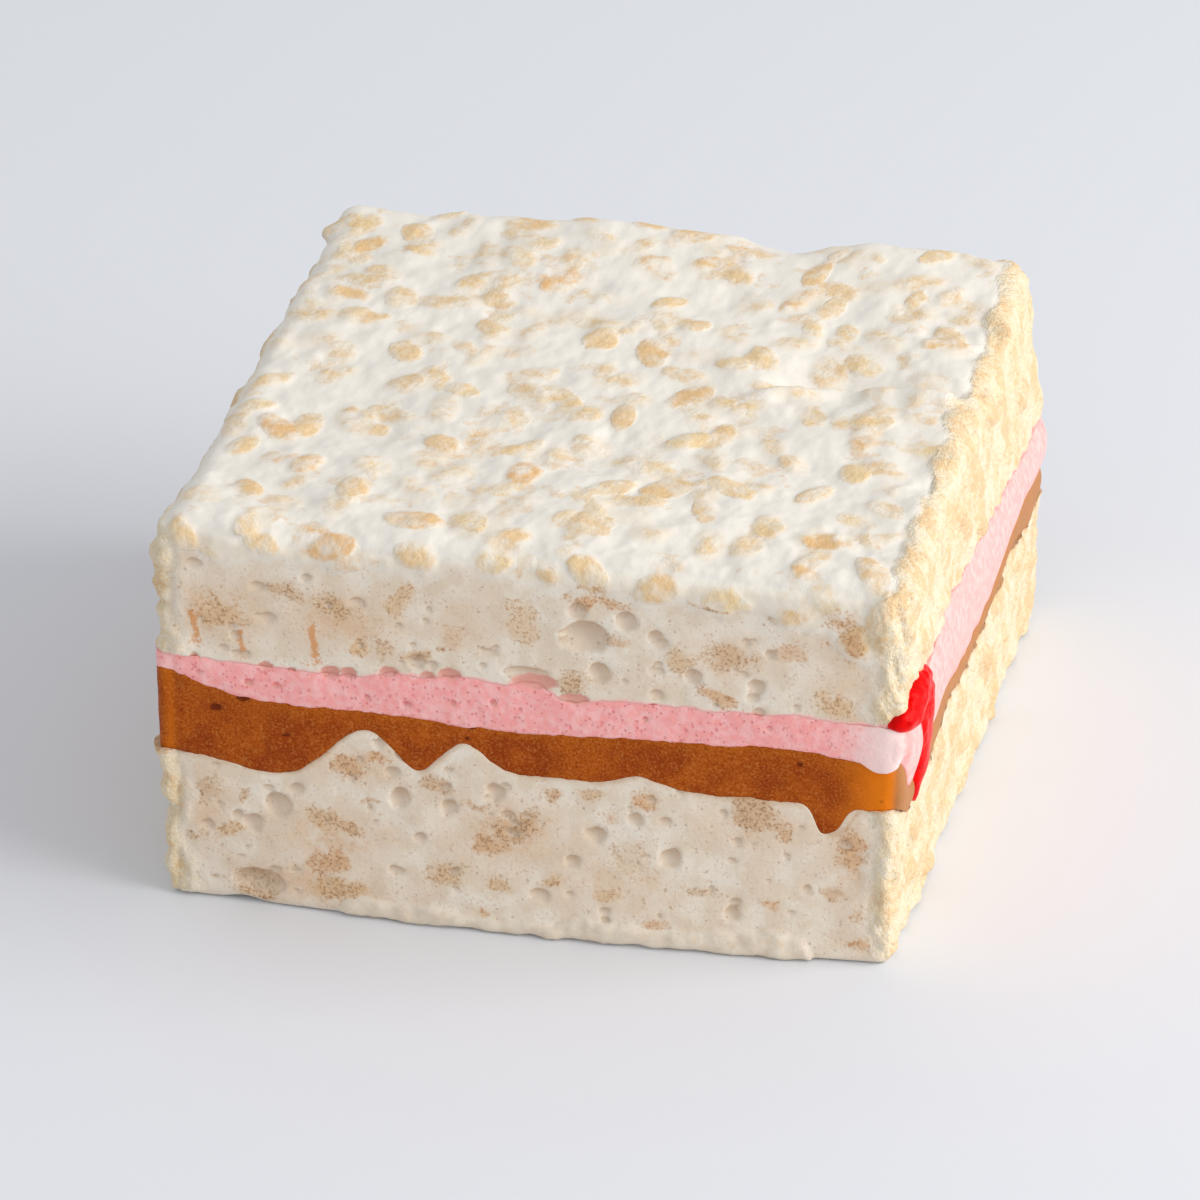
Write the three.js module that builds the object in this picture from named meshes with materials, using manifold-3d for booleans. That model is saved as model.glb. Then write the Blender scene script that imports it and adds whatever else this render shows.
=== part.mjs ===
// A crispy rice treat: two slabs of puffed rice held in marshmallow, with a layer of pink
// marshmallow and a layer of caramel between them, and a pocket of red jam that has run out at
// one corner. Millimetres, +Z up. The origin is the middle of the underside, the clean cut face
// looks along -Y and the jam is on the +X side.
//
// The whole treat is made once, as a rounded block with rice puffs fused on. It is then sliced
// along three wavy joints, each a thin gap that the layers above and below follow together.

import * as THREE from "three";
import { mergeVertices } from "three/addons/utils/BufferGeometryUtils.js";
import Module from "manifold-3d";

const wasm = await Module();
wasm.setup();

const { lerp, clamp, smoothstep } = THREE.MathUtils;

// ---- driving dimensions ----------------------------------------------------------------------
const WIDTH = 80; // along X
const DEPTH = 80; // along Y
const HEIGHT = 45; // to the marshmallow skin on top; the puffs stand a little above it
const EDGE_RADIUS = { bottom: 1.2, top: 2.8 };
const JOINT_GAP = 0.3; // between one layer and the next

// How far the right side leans out of the square at its four corners, and bulges between them.
const RIGHT_SIDE = { frontBottom: -1.6, frontTop: 0.3, backBottom: 1.0, backTop: -0.2, bulge: 1.2 };
const FRONT_FOOT_BULGE = 1.5; // the middle of the front swells forward near the floor

// Grid of the block, in steps along X, along Y and up.
const STEPS = { x: 11, y: 11, z: 7 };

// A puff of rice: its usual length, width and thickness, and how much each varies.
const PUFF = { length: 6.4, width: 3.9, thickness: 3.3, spread: 0.26 };
const PUFF_MESH = { sides: 6, rings: 3 };

// ---- random draws, the same on every run ------------------------------------------------------
const LCG = { multiplier: 16807, modulus: 2147483647 };

function randomFrom(seed) {
  let state = seed;
  return () => {
    state = (state * LCG.multiplier) % LCG.modulus;
    return state / LCG.modulus;
  };
}

const between = (random, low, high) => low + (high - low) * random();

// ---- surfaces ---------------------------------------------------------------------------------
const bell = (distance, width) => Math.exp(-((distance / width) ** 2));

// Lumps and dips of the top skin: { x, y, rise, width } in millimetres.
const TOP_LUMPS = [
  { x: -10, y: 36, rise: 1.0, width: 17 },
  { x: 13, y: 41, rise: -1.9, width: 4.5 },
  { x: 25, y: 35, rise: 0.9, width: 9 },
  { x: 24, y: 5, rise: -1.1, width: 6 },
  { x: 31, y: -4, rise: 0.7, width: 8 },
  { x: -28, y: -6, rise: -0.6, width: 12 },
  { x: 2, y: -30, rise: 0.5, width: 9 },
  { x: -36, y: -37, rise: 0.8, width: 6 },
];

const topLevel = (x, y) =>
  HEIGHT + TOP_LUMPS.reduce((sum, l) => sum + l.rise * bell(Math.hypot(x - l.x, y - l.y), l.width), 0);

// Each joint is a level with humps along the front edge, { x, rise, width }, and a level with
// humps along the right side, { y, rise, width }.
const JOINTS = {
  lowerToCaramel: {
    front: 19.0,
    frontHumps: [
      { x: -40, rise: -0.9, width: 7 },
      { x: -28, rise: -2.6, width: 6.5 },
      { x: -18.2, rise: 3.9, width: 4.4 },
      { x: -12, rise: -1.3, width: 2.4 },
      { x: -7, rise: 3.3, width: 3.4 },
      { x: 5, rise: 0.3, width: 5 },
      { x: 12, rise: 1.3, width: 3 },
      { x: 31.6, rise: -4.2, width: 1.9 },
    ],
    right: 16.6,
    rightHumps: [
      { y: -14, rise: 1.7, width: 4 },
      { y: 20, rise: 1.2, width: 5 },
      { y: 32, rise: -1.2, width: 3.5 },
    ],
  },
  caramelToPink: {
    front: 24.9,
    frontHumps: [
      { x: -41, rise: 3.0, width: 6.5 },
      { x: -2, rise: -0.7, width: 9 },
      { x: 26, rise: 0.5, width: 5 },
      { x: 37.5, rise: -1.2, width: 2.2 },
    ],
    right: 19.4,
    rightHumps: [
      { y: -17, rise: 1.2, width: 5 },
      { y: 5, rise: -1.0, width: 12 },
      { y: 27, rise: 0.9, width: 6 },
    ],
  },
  pinkToUpper: {
    front: 29.0,
    frontHumps: [
      { x: -38, rise: 0.5, width: 6 },
      { x: -14.5, rise: 0.9, width: 2.2 },
      { x: -7, rise: 1.2, width: 4.5 },
      { x: 0, rise: 1.2, width: 2 },
      { x: 4.5, rise: -0.6, width: 2 },
      { x: 28, rise: 0.3, width: 3 },
    ],
    right: 29.4,
    rightHumps: [
      { y: -16, rise: 1.6, width: 6 },
      { y: 12, rise: -1.4, width: 8 },
      { y: 32, rise: -3.9, width: 14 },
    ],
  },
};

// The left side and the back take a plain wave, into which the front and the right side fade.
const PLAIN_WAVE = { rise: 0.7, length: 5.3 };
const FADE = { alongLeft: 14, alongBack: 10, alongRight: 5 };

function jointLevel(joint, x, y) {
  const humps = (list, key, at) =>
    list.reduce((sum, h) => sum + h.rise * bell(at - h[key], h.width), 0);
  const front = joint.front + humps(joint.frontHumps, "x", x);
  const right = joint.right + humps(joint.rightHumps, "y", y);
  const plain =
    (joint.front + joint.right) / 2 +
    PLAIN_WAVE.rise * Math.sin((x - y) / PLAIN_WAVE.length + joint.front);
  const back = y + DEPTH / 2;
  const nearFront = 1 - smoothstep(back, 0, FADE.alongLeft);
  const nearRight =
    smoothstep(x, WIDTH / 2 - FADE.alongBack, WIDTH / 2) * smoothstep(back, 0, FADE.alongRight);
  return lerp(lerp(plain, front, nearFront), right, nearRight);
}

// ---- the block --------------------------------------------------------------------------------
// Pulls a point of a sharp box onto the same box with rounded edges.
function roundEdges(point, radius) {
  const inner = new THREE.Vector3(
    clamp(point.x, -WIDTH / 2 + radius, WIDTH / 2 - radius),
    clamp(point.y, -DEPTH / 2 + radius, DEPTH / 2 - radius),
    clamp(point.z, radius, HEIGHT - radius),
  );
  const out = point.clone().sub(inner);
  const longest = Math.max(Math.abs(out.x), Math.abs(out.y), Math.abs(out.z));
  return longest > 0 ? inner.addScaledVector(out, longest / out.length()) : inner;
}

// Leans and bulges the sides. right, back and up run from 0 to 1 across the block.
function lean(point) {
  const right = point.x / WIDTH + 0.5;
  const back = clamp(point.y / DEPTH + 0.5, 0, 1);
  const up = clamp(point.z / HEIGHT, 0, 1);
  const side =
    lerp(
      lerp(RIGHT_SIDE.frontBottom, RIGHT_SIDE.frontTop, up),
      lerp(RIGHT_SIDE.backBottom, RIGHT_SIDE.backTop, up),
      back,
    ) +
    RIGHT_SIDE.bulge * Math.sin(Math.PI * up) * back ** 1.5;
  const foot = FRONT_FOOT_BULGE * Math.sin(Math.PI * clamp(right, 0, 1)) * (1 - up) ** 3;
  return new THREE.Vector3(point.x + side * right, point.y - foot * (1 - back), point.z);
}

// Step number to millimetres: the outer two steps cover the rounded edge, the rest are even.
function spaced(step, count, low, high, radius) {
  const edge = [0, radius * 0.45, radius];
  if (step < 2) return low + edge[step];
  if (step > count - 2) return high - edge[count - step];
  return lerp(low + radius, high - radius, (step - 2) / (count - 4));
}

function blockGeometry() {
  const geometry = new THREE.BoxGeometry(1, 1, 1, STEPS.x, STEPS.y, STEPS.z);
  const position = geometry.getAttribute("position");
  const point = new THREE.Vector3();
  const step = (value, count) => Math.round((value + 0.5) * count);
  for (let i = 0; i < position.count; i += 1) {
    point.fromBufferAttribute(position, i);
    const radius = lerp(EDGE_RADIUS.bottom, EDGE_RADIUS.top, point.z + 0.5);
    const box = new THREE.Vector3(
      spaced(step(point.x, STEPS.x), STEPS.x, -WIDTH / 2, WIDTH / 2, radius),
      spaced(step(point.y, STEPS.y), STEPS.y, -DEPTH / 2, DEPTH / 2, radius),
      spaced(step(point.z, STEPS.z), STEPS.z, 0, HEIGHT, radius),
    );
    const moved = lean(roundEdges(box, radius));
    moved.z += (topLevel(moved.x, moved.y) - HEIGHT) * smoothstep(moved.z, HEIGHT / 2, HEIGHT);
    position.setXYZ(i, moved.x, moved.y, moved.z);
  }
  return geometry;
}

// ---- three.js geometry to a solid and back -----------------------------------------------------
const SHORTEST_EDGE = 0.03; // an edge that a cut leaves shorter than this is closed up

function solid(geometry) {
  const bare = geometry.clone();
  bare.deleteAttribute("normal");
  bare.deleteAttribute("uv");
  const merged = mergeVertices(bare, 1e-4);
  return new wasm.Manifold(
    new wasm.Mesh({
      numProp: 3,
      tolerance: SHORTEST_EDGE,
      vertProperties: new Float32Array(merged.getAttribute("position").array),
      triVerts: new Uint32Array(merged.index.array),
    }),
  );
}

function geometryOf(body) {
  const mesh = body.getMesh();
  return new THREE.BufferGeometry()
    .setAttribute("position", new THREE.BufferAttribute(mesh.vertProperties, 3))
    .setIndex(new THREE.BufferAttribute(mesh.triVerts, 1));
}

// The largest body: any scrap that a cut leaves is dropped.
function largest(body) {
  return body.decompose().reduce((best, b) => (b.volume() > best.volume() ? b : best));
}

// ---- the cutters -------------------------------------------------------------------------------
// The block's outline from above, counter-clockwise: its points lie close together along the
// front and the right side, which show the layers best, and further apart along the other two.
const OUTLINE_POINTS = { front: 34, right: 18, back: 6, left: 6 };

function outlinePoints() {
  const [x, y] = [WIDTH / 2, DEPTH / 2];
  const sides = [
    { from: [-x, -y], to: [x, -y], count: OUTLINE_POINTS.front },
    { from: [x, -y], to: [x, y], count: OUTLINE_POINTS.right },
    { from: [x, y], to: [-x, y], count: OUTLINE_POINTS.back },
    { from: [-x, y], to: [-x, -y], count: OUTLINE_POINTS.left },
  ];
  return sides.flatMap(({ from, to, count }) =>
    Array.from({ length: count }, (_, i) =>
      new THREE.Vector2(...from).lerp(new THREE.Vector2(...to), i / count),
    ),
  );
}

// Rings of a sphere from its upper pole down, made into a cutter: a flat lid, a straight wall
// outside the block, and below it the joint, which runs in to a ring inside the block and from
// there to its middle. spread scales the outline. The cutter's middle stands off the block's own,
// so that no cut runs along an edge of the block.
const LID_LEVEL = HEIGHT + 12;
const CUTTER_MIDDLE = new THREE.Vector2(3.1, 1.7);
const CUTTER_RINGS = [
  { spread: 0, lid: true },
  { spread: 1.12, lid: true },
  { spread: 1.12, lid: false },
  { spread: 0.8, lid: false },
  { spread: 0, lid: false },
];

// All the space above one joint, with the joint moved up by lift.
function spaceAbove(joint, lift) {
  const outline = outlinePoints();
  const columns = outline.length + 1;
  const geometry = new THREE.SphereGeometry(1, outline.length, CUTTER_RINGS.length - 1);
  const position = geometry.getAttribute("position");
  for (let i = 0; i < position.count; i += 1) {
    const { spread, lid } = CUTTER_RINGS[Math.floor(i / columns)];
    const on = spread > 0 ? outline[(i % columns) % outline.length] : CUTTER_MIDDLE;
    const at = CUTTER_MIDDLE.clone().lerp(on, spread);
    const level = lid ? LID_LEVEL : jointLevel(joint, on.x, on.y) + lift;
    position.setXYZ(i, at.x, at.y, level);
  }
  return solid(geometry);
}

// ---- puffs of rice ----------------------------------------------------------------------------
// One puff: a long rounded grain with few sides, turned and put in place.
function puff({ at, size, turn }) {
  const geometry = new THREE.SphereGeometry(1, PUFF_MESH.sides, PUFF_MESH.rings);
  geometry.rotateZ(Math.PI / 2); // its poles along X
  const place = new THREE.Matrix4().compose(
    at,
    new THREE.Quaternion().setFromEuler(turn),
    size.clone().multiplyScalar(0.5),
  );
  return solid(geometry.applyMatrix4(place));
}

function puffSize(random) {
  const scale = () => between(random, 1 - PUFF.spread, 1 + PUFF.spread);
  return new THREE.Vector3(PUFF.length * scale(), PUFF.width * scale(), PUFF.thickness * scale());
}

// Puffs that stand out of the top skin: one in each cell of a grid, moved about in its cell.
// sunk is the part of a puff's thickness that lies below the skin.
const TOP_PUFFS = {
  seed: 4271,
  columns: 12,
  rows: 12,
  wander: 0.36,
  inset: 2.2,
  tilt: 0.18,
  sunk: { low: 0.62, high: 0.84 },
};

function topPuffs() {
  const { seed, columns, rows, wander, inset, tilt, sunk } = TOP_PUFFS;
  const random = randomFrom(seed);
  const cell = { x: (WIDTH - 2 * inset) / columns, y: (DEPTH - 2 * inset) / rows };
  const found = [];
  for (let row = 0; row < rows; row += 1) {
    for (let column = 0; column < columns; column += 1) {
      const x = -WIDTH / 2 + inset + cell.x * (column + 0.5 + between(random, -wander, wander));
      const y = -DEPTH / 2 + inset + cell.y * (row + 0.5 + between(random, -wander, wander));
      const size = puffSize(random);
      const turn = new THREE.Euler(0, between(random, -tilt, tilt), between(random, 0, Math.PI), "ZYX");
      const depth = size.z * (between(random, sunk.low, sunk.high) - 0.5);
      found.push({ at: new THREE.Vector3(x, y, topLevel(x, y) - depth), size, turn });
    }
  }
  return found;
}

// Puffs torn through at the three rough sides, in rows at these heights. out is the direction a
// side faces, and sunk is how much of a puff's width lies inside it.
const SIDE_PUFFS = {
  sides: [
    { seed: 811, out: new THREE.Vector2(1, 0) },
    { seed: 1723, out: new THREE.Vector2(0, 1) },
    { seed: 2909, out: new THREE.Vector2(-1, 0) },
  ],
  heights: [3.6, 8.4, 13.4, 32.6, 37.2, 41.6],
  columns: 6,
  wander: { along: 0.42, up: 1.8 },
  tilt: 1.2,
  sunk: { low: 0.62, high: 0.86 },
};

function sidePuffs({ seed, out }) {
  const { heights, columns, wander, tilt, sunk } = SIDE_PUFFS;
  const random = randomFrom(seed);
  const along = new THREE.Vector2(-out.y, out.x);
  const reach = WIDTH - PUFF.length; // short of the corners
  const found = [];
  for (const height of heights) {
    for (let column = 0; column < columns; column += 1) {
      const s = ((column + 0.5 + between(random, -wander.along, wander.along)) / columns - 0.5) * reach;
      const lift = between(random, -wander.up, wander.up);
      const size = puffSize(random);
      const z = Math.max(height + lift, size.x / 2); // clear of the floor
      const turn = new THREE.Euler(
        between(random, -tilt, tilt) / 2,
        between(random, -tilt, tilt),
        Math.atan2(along.y, along.x) + between(random, -0.3, 0.3),
        "ZYX",
      );
      const depth = size.y * (between(random, sunk.low, sunk.high) - 0.5);
      const flat = along.clone().multiplyScalar(s).addScaledVector(out, WIDTH / 2);
      const at = lean(new THREE.Vector3(flat.x, flat.y, z));
      at.x -= out.x * depth;
      at.y -= out.y * depth;
      found.push({ at, size, turn });
    }
  }
  return found;
}

// ---- air bubbles and pits in the cut front ----------------------------------------------------
// The largest ones, opened by the knife: { x, z } and radius r, or { r, long } for a long pit.
const BUBBLES = [
  { x: 5.9, z: 36.4, r: 1.9, long: 2.6 },
  { x: 5.1, z: 39.4, r: 1.0 },
  { x: 10.2, z: 38.6, r: 1.2 },
  { x: 13.4, z: 37.1, r: 0.9 },
  { x: 17.3, z: 32.9, r: 1.0 },
  { x: 24.0, z: 32.4, r: 1.0 },
  { x: 28.9, z: 39.9, r: 0.8 },
  { x: 7.4, z: 32.3, r: 1.2 },
  { x: -12.2, z: 31.6, r: 1.0 },
  { x: -0.5, z: 31.4, r: 0.8, long: 2.6 },
  { x: -27.8, z: 12.6, r: 1.5 },
  { x: -30.6, z: 10.1, r: 1.2 },
  { x: -14.4, z: 15.0, r: 1.2 },
  { x: -9.0, z: 14.4, r: 1.0 },
  { x: -3.9, z: 16.8, r: 1.1 },
  { x: 6.8, z: 12.9, r: 1.1 },
  { x: 4.3, z: 9.6, r: 0.9 },
  { x: 14.8, z: 10.9, r: 1.2 },
  { x: 11.2, z: 15.3, r: 0.9 },
  { x: 21.4, z: 5.1, r: 0.9 },
  { x: -30.2, z: 2.8, r: 1.7, long: 3.0 },
];

function bubble({ x, z, r, long = r }) {
  const front = lean(new THREE.Vector3(x, -DEPTH / 2, z));
  const geometry = new THREE.SphereGeometry(1, PUFF_MESH.sides, PUFF_MESH.rings).scale(long, r, r);
  return solid(geometry.translate(x, front.y, z));
}

// ---- jam --------------------------------------------------------------------------------------
// A flat pocket at the right front corner, and the run from it down the side: rounded lumps
// with half sizes a, b and c along X, Y and Z.
const JAM = [
  { x: 38.6, y: -33.9, z: 29.6, a: 2.1, b: 6.3, c: 1.5 },
  { x: 39.2, y: -37.6, z: 29.0, a: 1.5, b: 2.6, c: 1.1 },
  { x: 39.4, y: -31.2, z: 27.6, a: 1.3, b: 1.9, c: 3.0 },
  { x: 39.3, y: -31.9, z: 24.2, a: 1.15, b: 1.3, c: 3.2 },
  { x: 39.1, y: -32.8, z: 20.9, a: 1.05, b: 1.1, c: 2.6 },
];
const JAM_MESH = { sides: 8, rings: 4 };

function jamBody(grow) {
  const lumps = JAM.map(({ x, y, z, a, b, c }) =>
    solid(
      new THREE.SphereGeometry(1, JAM_MESH.sides, JAM_MESH.rings)
        .scale(a + grow, b + grow, c + grow)
        .translate(x, y, z),
    ),
  );
  return lumps.reduce((sum, lump) => sum.add(lump));
}

// ---- the layers cut from the block ------------------------------------------------------------
const block = solid(blockGeometry());
const grains = [...topPuffs(), ...SIDE_PUFFS.sides.flatMap(sidePuffs)].map(puff);
const withPuffs = grains.reduce((sum, grain) => sum.add(grain), block);
const craggy = BUBBLES.map(bubble).reduce((sum, hole) => sum.subtract(hole), withPuffs);

const above = (joint) => spaceAbove(joint, JOINT_GAP / 2);
const below = (joint) => spaceAbove(joint, -JOINT_GAP / 2);
const { lowerToCaramel, caramelToPink, pinkToUpper } = JOINTS;
const jamRoom = jamBody(JOINT_GAP);

const layers = {
  lower_slab: craggy.subtract(below(lowerToCaramel)).subtract(jamRoom),
  caramel_layer: block.intersect(above(lowerToCaramel)).subtract(below(caramelToPink)).subtract(jamRoom),
  pink_marshmallow: block.intersect(above(caramelToPink)).subtract(below(pinkToUpper)).subtract(jamRoom),
  upper_slab: craggy.intersect(above(pinkToUpper)).subtract(jamRoom),
  jam_pocket: jamBody(0),
};

const FINISHES = {
  lower_slab: { color: 0xeee6d6, roughness: 0.75 },
  caramel_layer: { color: 0xa8601c, roughness: 0.45 },
  pink_marshmallow: { color: 0xf4a6ac, roughness: 0.7 },
  upper_slab: { color: 0xf1ebdf, roughness: 0.7 },
  jam_pocket: { color: 0xd90a0a, roughness: 0.2 },
};

const treat = new THREE.Group();
for (const [name, body] of Object.entries(layers)) {
  const material = new THREE.MeshStandardMaterial({ ...FINISHES[name], metalness: 0 });
  const mesh = new THREE.Mesh(geometryOf(largest(body)), material);
  mesh.name = name;
  treat.add(mesh);
}

export default treat;
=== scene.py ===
# %% [markdown]
# # A crispy rice treat
# A square bar cut from a tray: two slabs of puffed rice held in white marshmallow, a pink
# marshmallow layer and a caramel layer between them, and a pocket of red jam at one corner.
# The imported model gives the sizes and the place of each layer. Here each layer becomes a dense
# surface that is worked out with numpy, so that puffs, bubbles and torn sides are real relief,
# and its finish is a material of Blender's own nodes.

import functools
import math

import bpy
import numpy as np
from mathutils import Matrix


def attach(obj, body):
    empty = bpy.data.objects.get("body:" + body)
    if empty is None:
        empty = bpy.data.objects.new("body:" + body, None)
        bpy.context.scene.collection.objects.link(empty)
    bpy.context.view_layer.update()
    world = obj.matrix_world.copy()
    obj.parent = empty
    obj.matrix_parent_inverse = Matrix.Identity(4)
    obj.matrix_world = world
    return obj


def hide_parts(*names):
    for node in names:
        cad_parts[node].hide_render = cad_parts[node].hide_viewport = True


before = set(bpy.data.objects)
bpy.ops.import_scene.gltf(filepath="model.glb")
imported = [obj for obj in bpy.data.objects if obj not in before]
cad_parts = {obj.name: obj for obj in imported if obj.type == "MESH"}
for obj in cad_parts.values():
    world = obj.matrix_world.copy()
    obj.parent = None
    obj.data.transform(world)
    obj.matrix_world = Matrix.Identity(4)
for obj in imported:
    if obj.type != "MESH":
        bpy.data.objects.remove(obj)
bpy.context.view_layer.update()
print("nodes of the packed model:", list(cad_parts))

# %% [markdown]
# ## The camera
# The photograph was taken with a long lens from a little to the right and well above. A camera
# was fitted to the corners of the treat: its distance, its two angles and a slight roll are
# given here, and the lens follows from the width of the frame.

# %% Camera
MM = 0.001  # all sizes below are millimetres; Blender works in metres
FRAME_PX = 1200
SENSOR = 36.0
CAMERA = {"azimuth": 12.62, "elevation": 28.89, "roll": -0.83, "distance": 737.5}
CAMERA_SLIDE = {"across": -1.38, "up": 16.21}
FOCAL_PX = 6611.5


def camera_axes(azimuth, elevation, roll):
    """Right, up and back of a camera that looks at the origin from azimuth and elevation, then
    rolls about its own line of sight by roll (all in degrees)."""
    azimuth, elevation, roll = np.radians([azimuth, elevation, roll])
    flat = math.cos(elevation)
    back = np.array([math.sin(azimuth) * flat, -math.cos(azimuth) * flat, math.sin(elevation)])
    right = np.cross(-back, [0, 0, 1])
    right /= np.linalg.norm(right)
    up = np.cross(right, -back)
    turned_right = math.cos(roll) * right + math.sin(roll) * up
    turned_up = math.cos(roll) * up - math.sin(roll) * right
    return right, up, back, turned_right, turned_up


def make_camera():
    right, up, back, turned_right, turned_up = camera_axes(
        CAMERA["azimuth"], CAMERA["elevation"], CAMERA["roll"]
    )
    place = back * CAMERA["distance"] + right * CAMERA_SLIDE["across"] + up * CAMERA_SLIDE["up"]
    data = bpy.data.cameras.new("camera")
    data.sensor_width = SENSOR
    data.lens = FOCAL_PX / FRAME_PX * SENSOR
    data.clip_start = 0.01
    camera = bpy.data.objects.new("camera", data)
    turn = np.eye(4)
    turn[:3, 0] = turned_right
    turn[:3, 1] = turned_up
    turn[:3, 2] = back
    turn[:3, 3] = place * MM
    camera.matrix_world = Matrix(turn.tolist())
    bpy.context.scene.collection.objects.link(camera)
    bpy.context.scene.camera = camera
    return camera


camera = make_camera()
print("camera lens, mm:", round(camera.data.lens, 1))

# %% [markdown]
# ## Rounding, fading and roughness
# Food is uneven at every scale. Three small tools make that unevenness: a soft step, a bell, and
# a cloudy field of random values that is smooth inside each cell of a grid. Adding the field to
# itself at smaller and smaller sizes gives roughness that never repeats over the treat.

# %% Soft steps, bells and cloudy fields
NOISE_CELLS = 48


def smoothstep(value, low, high):
    """0 below low, 1 above high, and 3t^2 - 2t^3 between them."""
    t = np.clip((value - low) / (high - low), 0, 1)
    return t * t * (3 - 2 * t)


def bell(distance, width):
    """exp(-(distance / width)^2)."""
    return np.exp(-((distance / width) ** 2))


@functools.lru_cache
def noise_table(seed):
    return np.random.default_rng(seed).uniform(-1, 1, (NOISE_CELLS,) * 3)


def cloudy(points, size, seed):
    """Smooth random values from -1 to 1: a random number at each corner of a grid of cells that
    are size across, blended inside each cell with the curve 6t^5 - 15t^4 + 10t^3."""
    table = noise_table(seed)
    cell = np.asarray(points).T / size
    low = np.floor(cell).astype(int)
    t = cell - low
    blend = t * t * t * (t * (6 * t - 15) + 10)
    weight = (1 - blend, blend)
    at = (low % NOISE_CELLS, (low + 1) % NOISE_CELLS)
    total = np.zeros(cell.shape[1])
    for i, j, k in np.ndindex(2, 2, 2):
        total += weight[i][0] * weight[j][1] * weight[k][2] * table[at[i][0], at[j][1], at[k][2]]
    return total


def rough(points, size, seed, layers=3, fade=0.5):
    """cloudy() added up over layers, each half the size and fade times the height of the last."""
    heights = fade ** np.arange(layers)
    fields = [h * cloudy(points, size / 2**i, seed + i) for i, h in enumerate(heights)]
    return sum(fields) / heights.sum() * 1.6


def random_from(seed):
    """Random draws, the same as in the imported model: each state is 16807 times the one before,
    modulo 2147483647, and a draw is the state as a part of the modulus."""
    state = seed

    def draw(low=0.0, high=1.0):
        nonlocal state
        state = state * 16807 % 2147483647
        return low + (high - low) * state / 2147483647

    return draw


sample_line = np.stack([np.linspace(0, 40, 200)] * 3, axis=1)
print("a roughness of 4 mm along a line:", np.round(rough(sample_line, 4.0, 41)[::40], 2))

# %% [markdown]
# ## The block
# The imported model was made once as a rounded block, then sliced along wavy joints. The same
# block is described here with the same sizes: first a sharp box, whose edges are rounded, whose
# right side leans and bulges, and whose top skin rises and falls in broad lumps.

# %% The block's sizes and its skin
WIDTH = 80.0
DEPTH = 80.0
HEIGHT = 45.0
EDGE_RADIUS = {"bottom": 1.2, "top": 2.8}
# How far the right side's four corners lean out, and how far it bulges towards the back.
RIGHT_SIDE = {
    "front_bottom": -1.6,
    "front_top": 0.3,
    "back_bottom": 1.0,
    "back_top": -0.2,
    "bulge": 1.2,
}
FRONT_FOOT_BULGE = 1.5

# Lumps and dips of the top skin: x, y, rise, width.
TOP_LUMPS = [
    (-10, 36, 1.0, 17),
    (13, 41, -1.9, 4.5),
    (25, 35, 0.9, 9),
    (24, 5, -1.1, 6),
    (31, -4, 0.7, 8),
    (-28, -6, -0.6, 12),
    (2, -30, 0.5, 9),
    (-36, -37, 0.8, 6),
]


def lerp(a, b, t):
    return a + (b - a) * t


def top_level(x, y):
    """HEIGHT plus a bell of its own rise and width at each lump."""
    return HEIGHT + sum(rise * bell(np.hypot(x - cx, y - cy), w) for cx, cy, rise, w in TOP_LUMPS)


def round_edges(points, radius):
    """Pulls points of a sharp box onto the same box with edges of that radius: the part of a
    point that lies outside the inner box keeps its longest component as its whole length."""
    half = np.array([WIDTH / 2, DEPTH / 2])
    edge = radius[:, None]
    low = np.hstack([edge - half, edge])
    high = np.hstack([half - edge, HEIGHT - edge])
    inner = np.clip(points, low, high)
    out = points - inner
    length = np.maximum(np.linalg.norm(out, axis=1), 1e-9)
    return inner + out * (np.abs(out).max(axis=1) / length)[:, None]


def lean(points):
    """Moves x by the right side's lean and bulge, in proportion to how far right a point is, and
    y by the swelling of the front foot."""
    right = points[:, 0] / WIDTH + 0.5
    back = np.clip(points[:, 1] / DEPTH + 0.5, 0, 1)
    up = np.clip(points[:, 2] / HEIGHT, 0, 1)
    front_side = lerp(RIGHT_SIDE["front_bottom"], RIGHT_SIDE["front_top"], up)
    back_side = lerp(RIGHT_SIDE["back_bottom"], RIGHT_SIDE["back_top"], up)
    side = lerp(front_side, back_side, back) + RIGHT_SIDE["bulge"] * np.sin(np.pi * up) * back**1.5
    foot = FRONT_FOOT_BULGE * np.sin(np.pi * np.clip(right, 0, 1)) * (1 - up) ** 3
    moved = points.copy()
    moved[:, 0] += side * right
    moved[:, 1] -= foot * (1 - back)
    return moved


def on_block(points):
    """Points of the sharp box moved onto the real block."""
    radius = lerp(EDGE_RADIUS["bottom"], EDGE_RADIUS["top"], points[:, 2] / HEIGHT)
    moved = lean(round_edges(points, radius))
    lift = top_level(moved[:, 0], moved[:, 1]) - HEIGHT
    moved[:, 2] += lift * smoothstep(moved[:, 2], HEIGHT / 2, HEIGHT)
    return moved


print("height of the top in the middle, mm:", round(float(top_level(0.0, 0.0)), 1))

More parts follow.
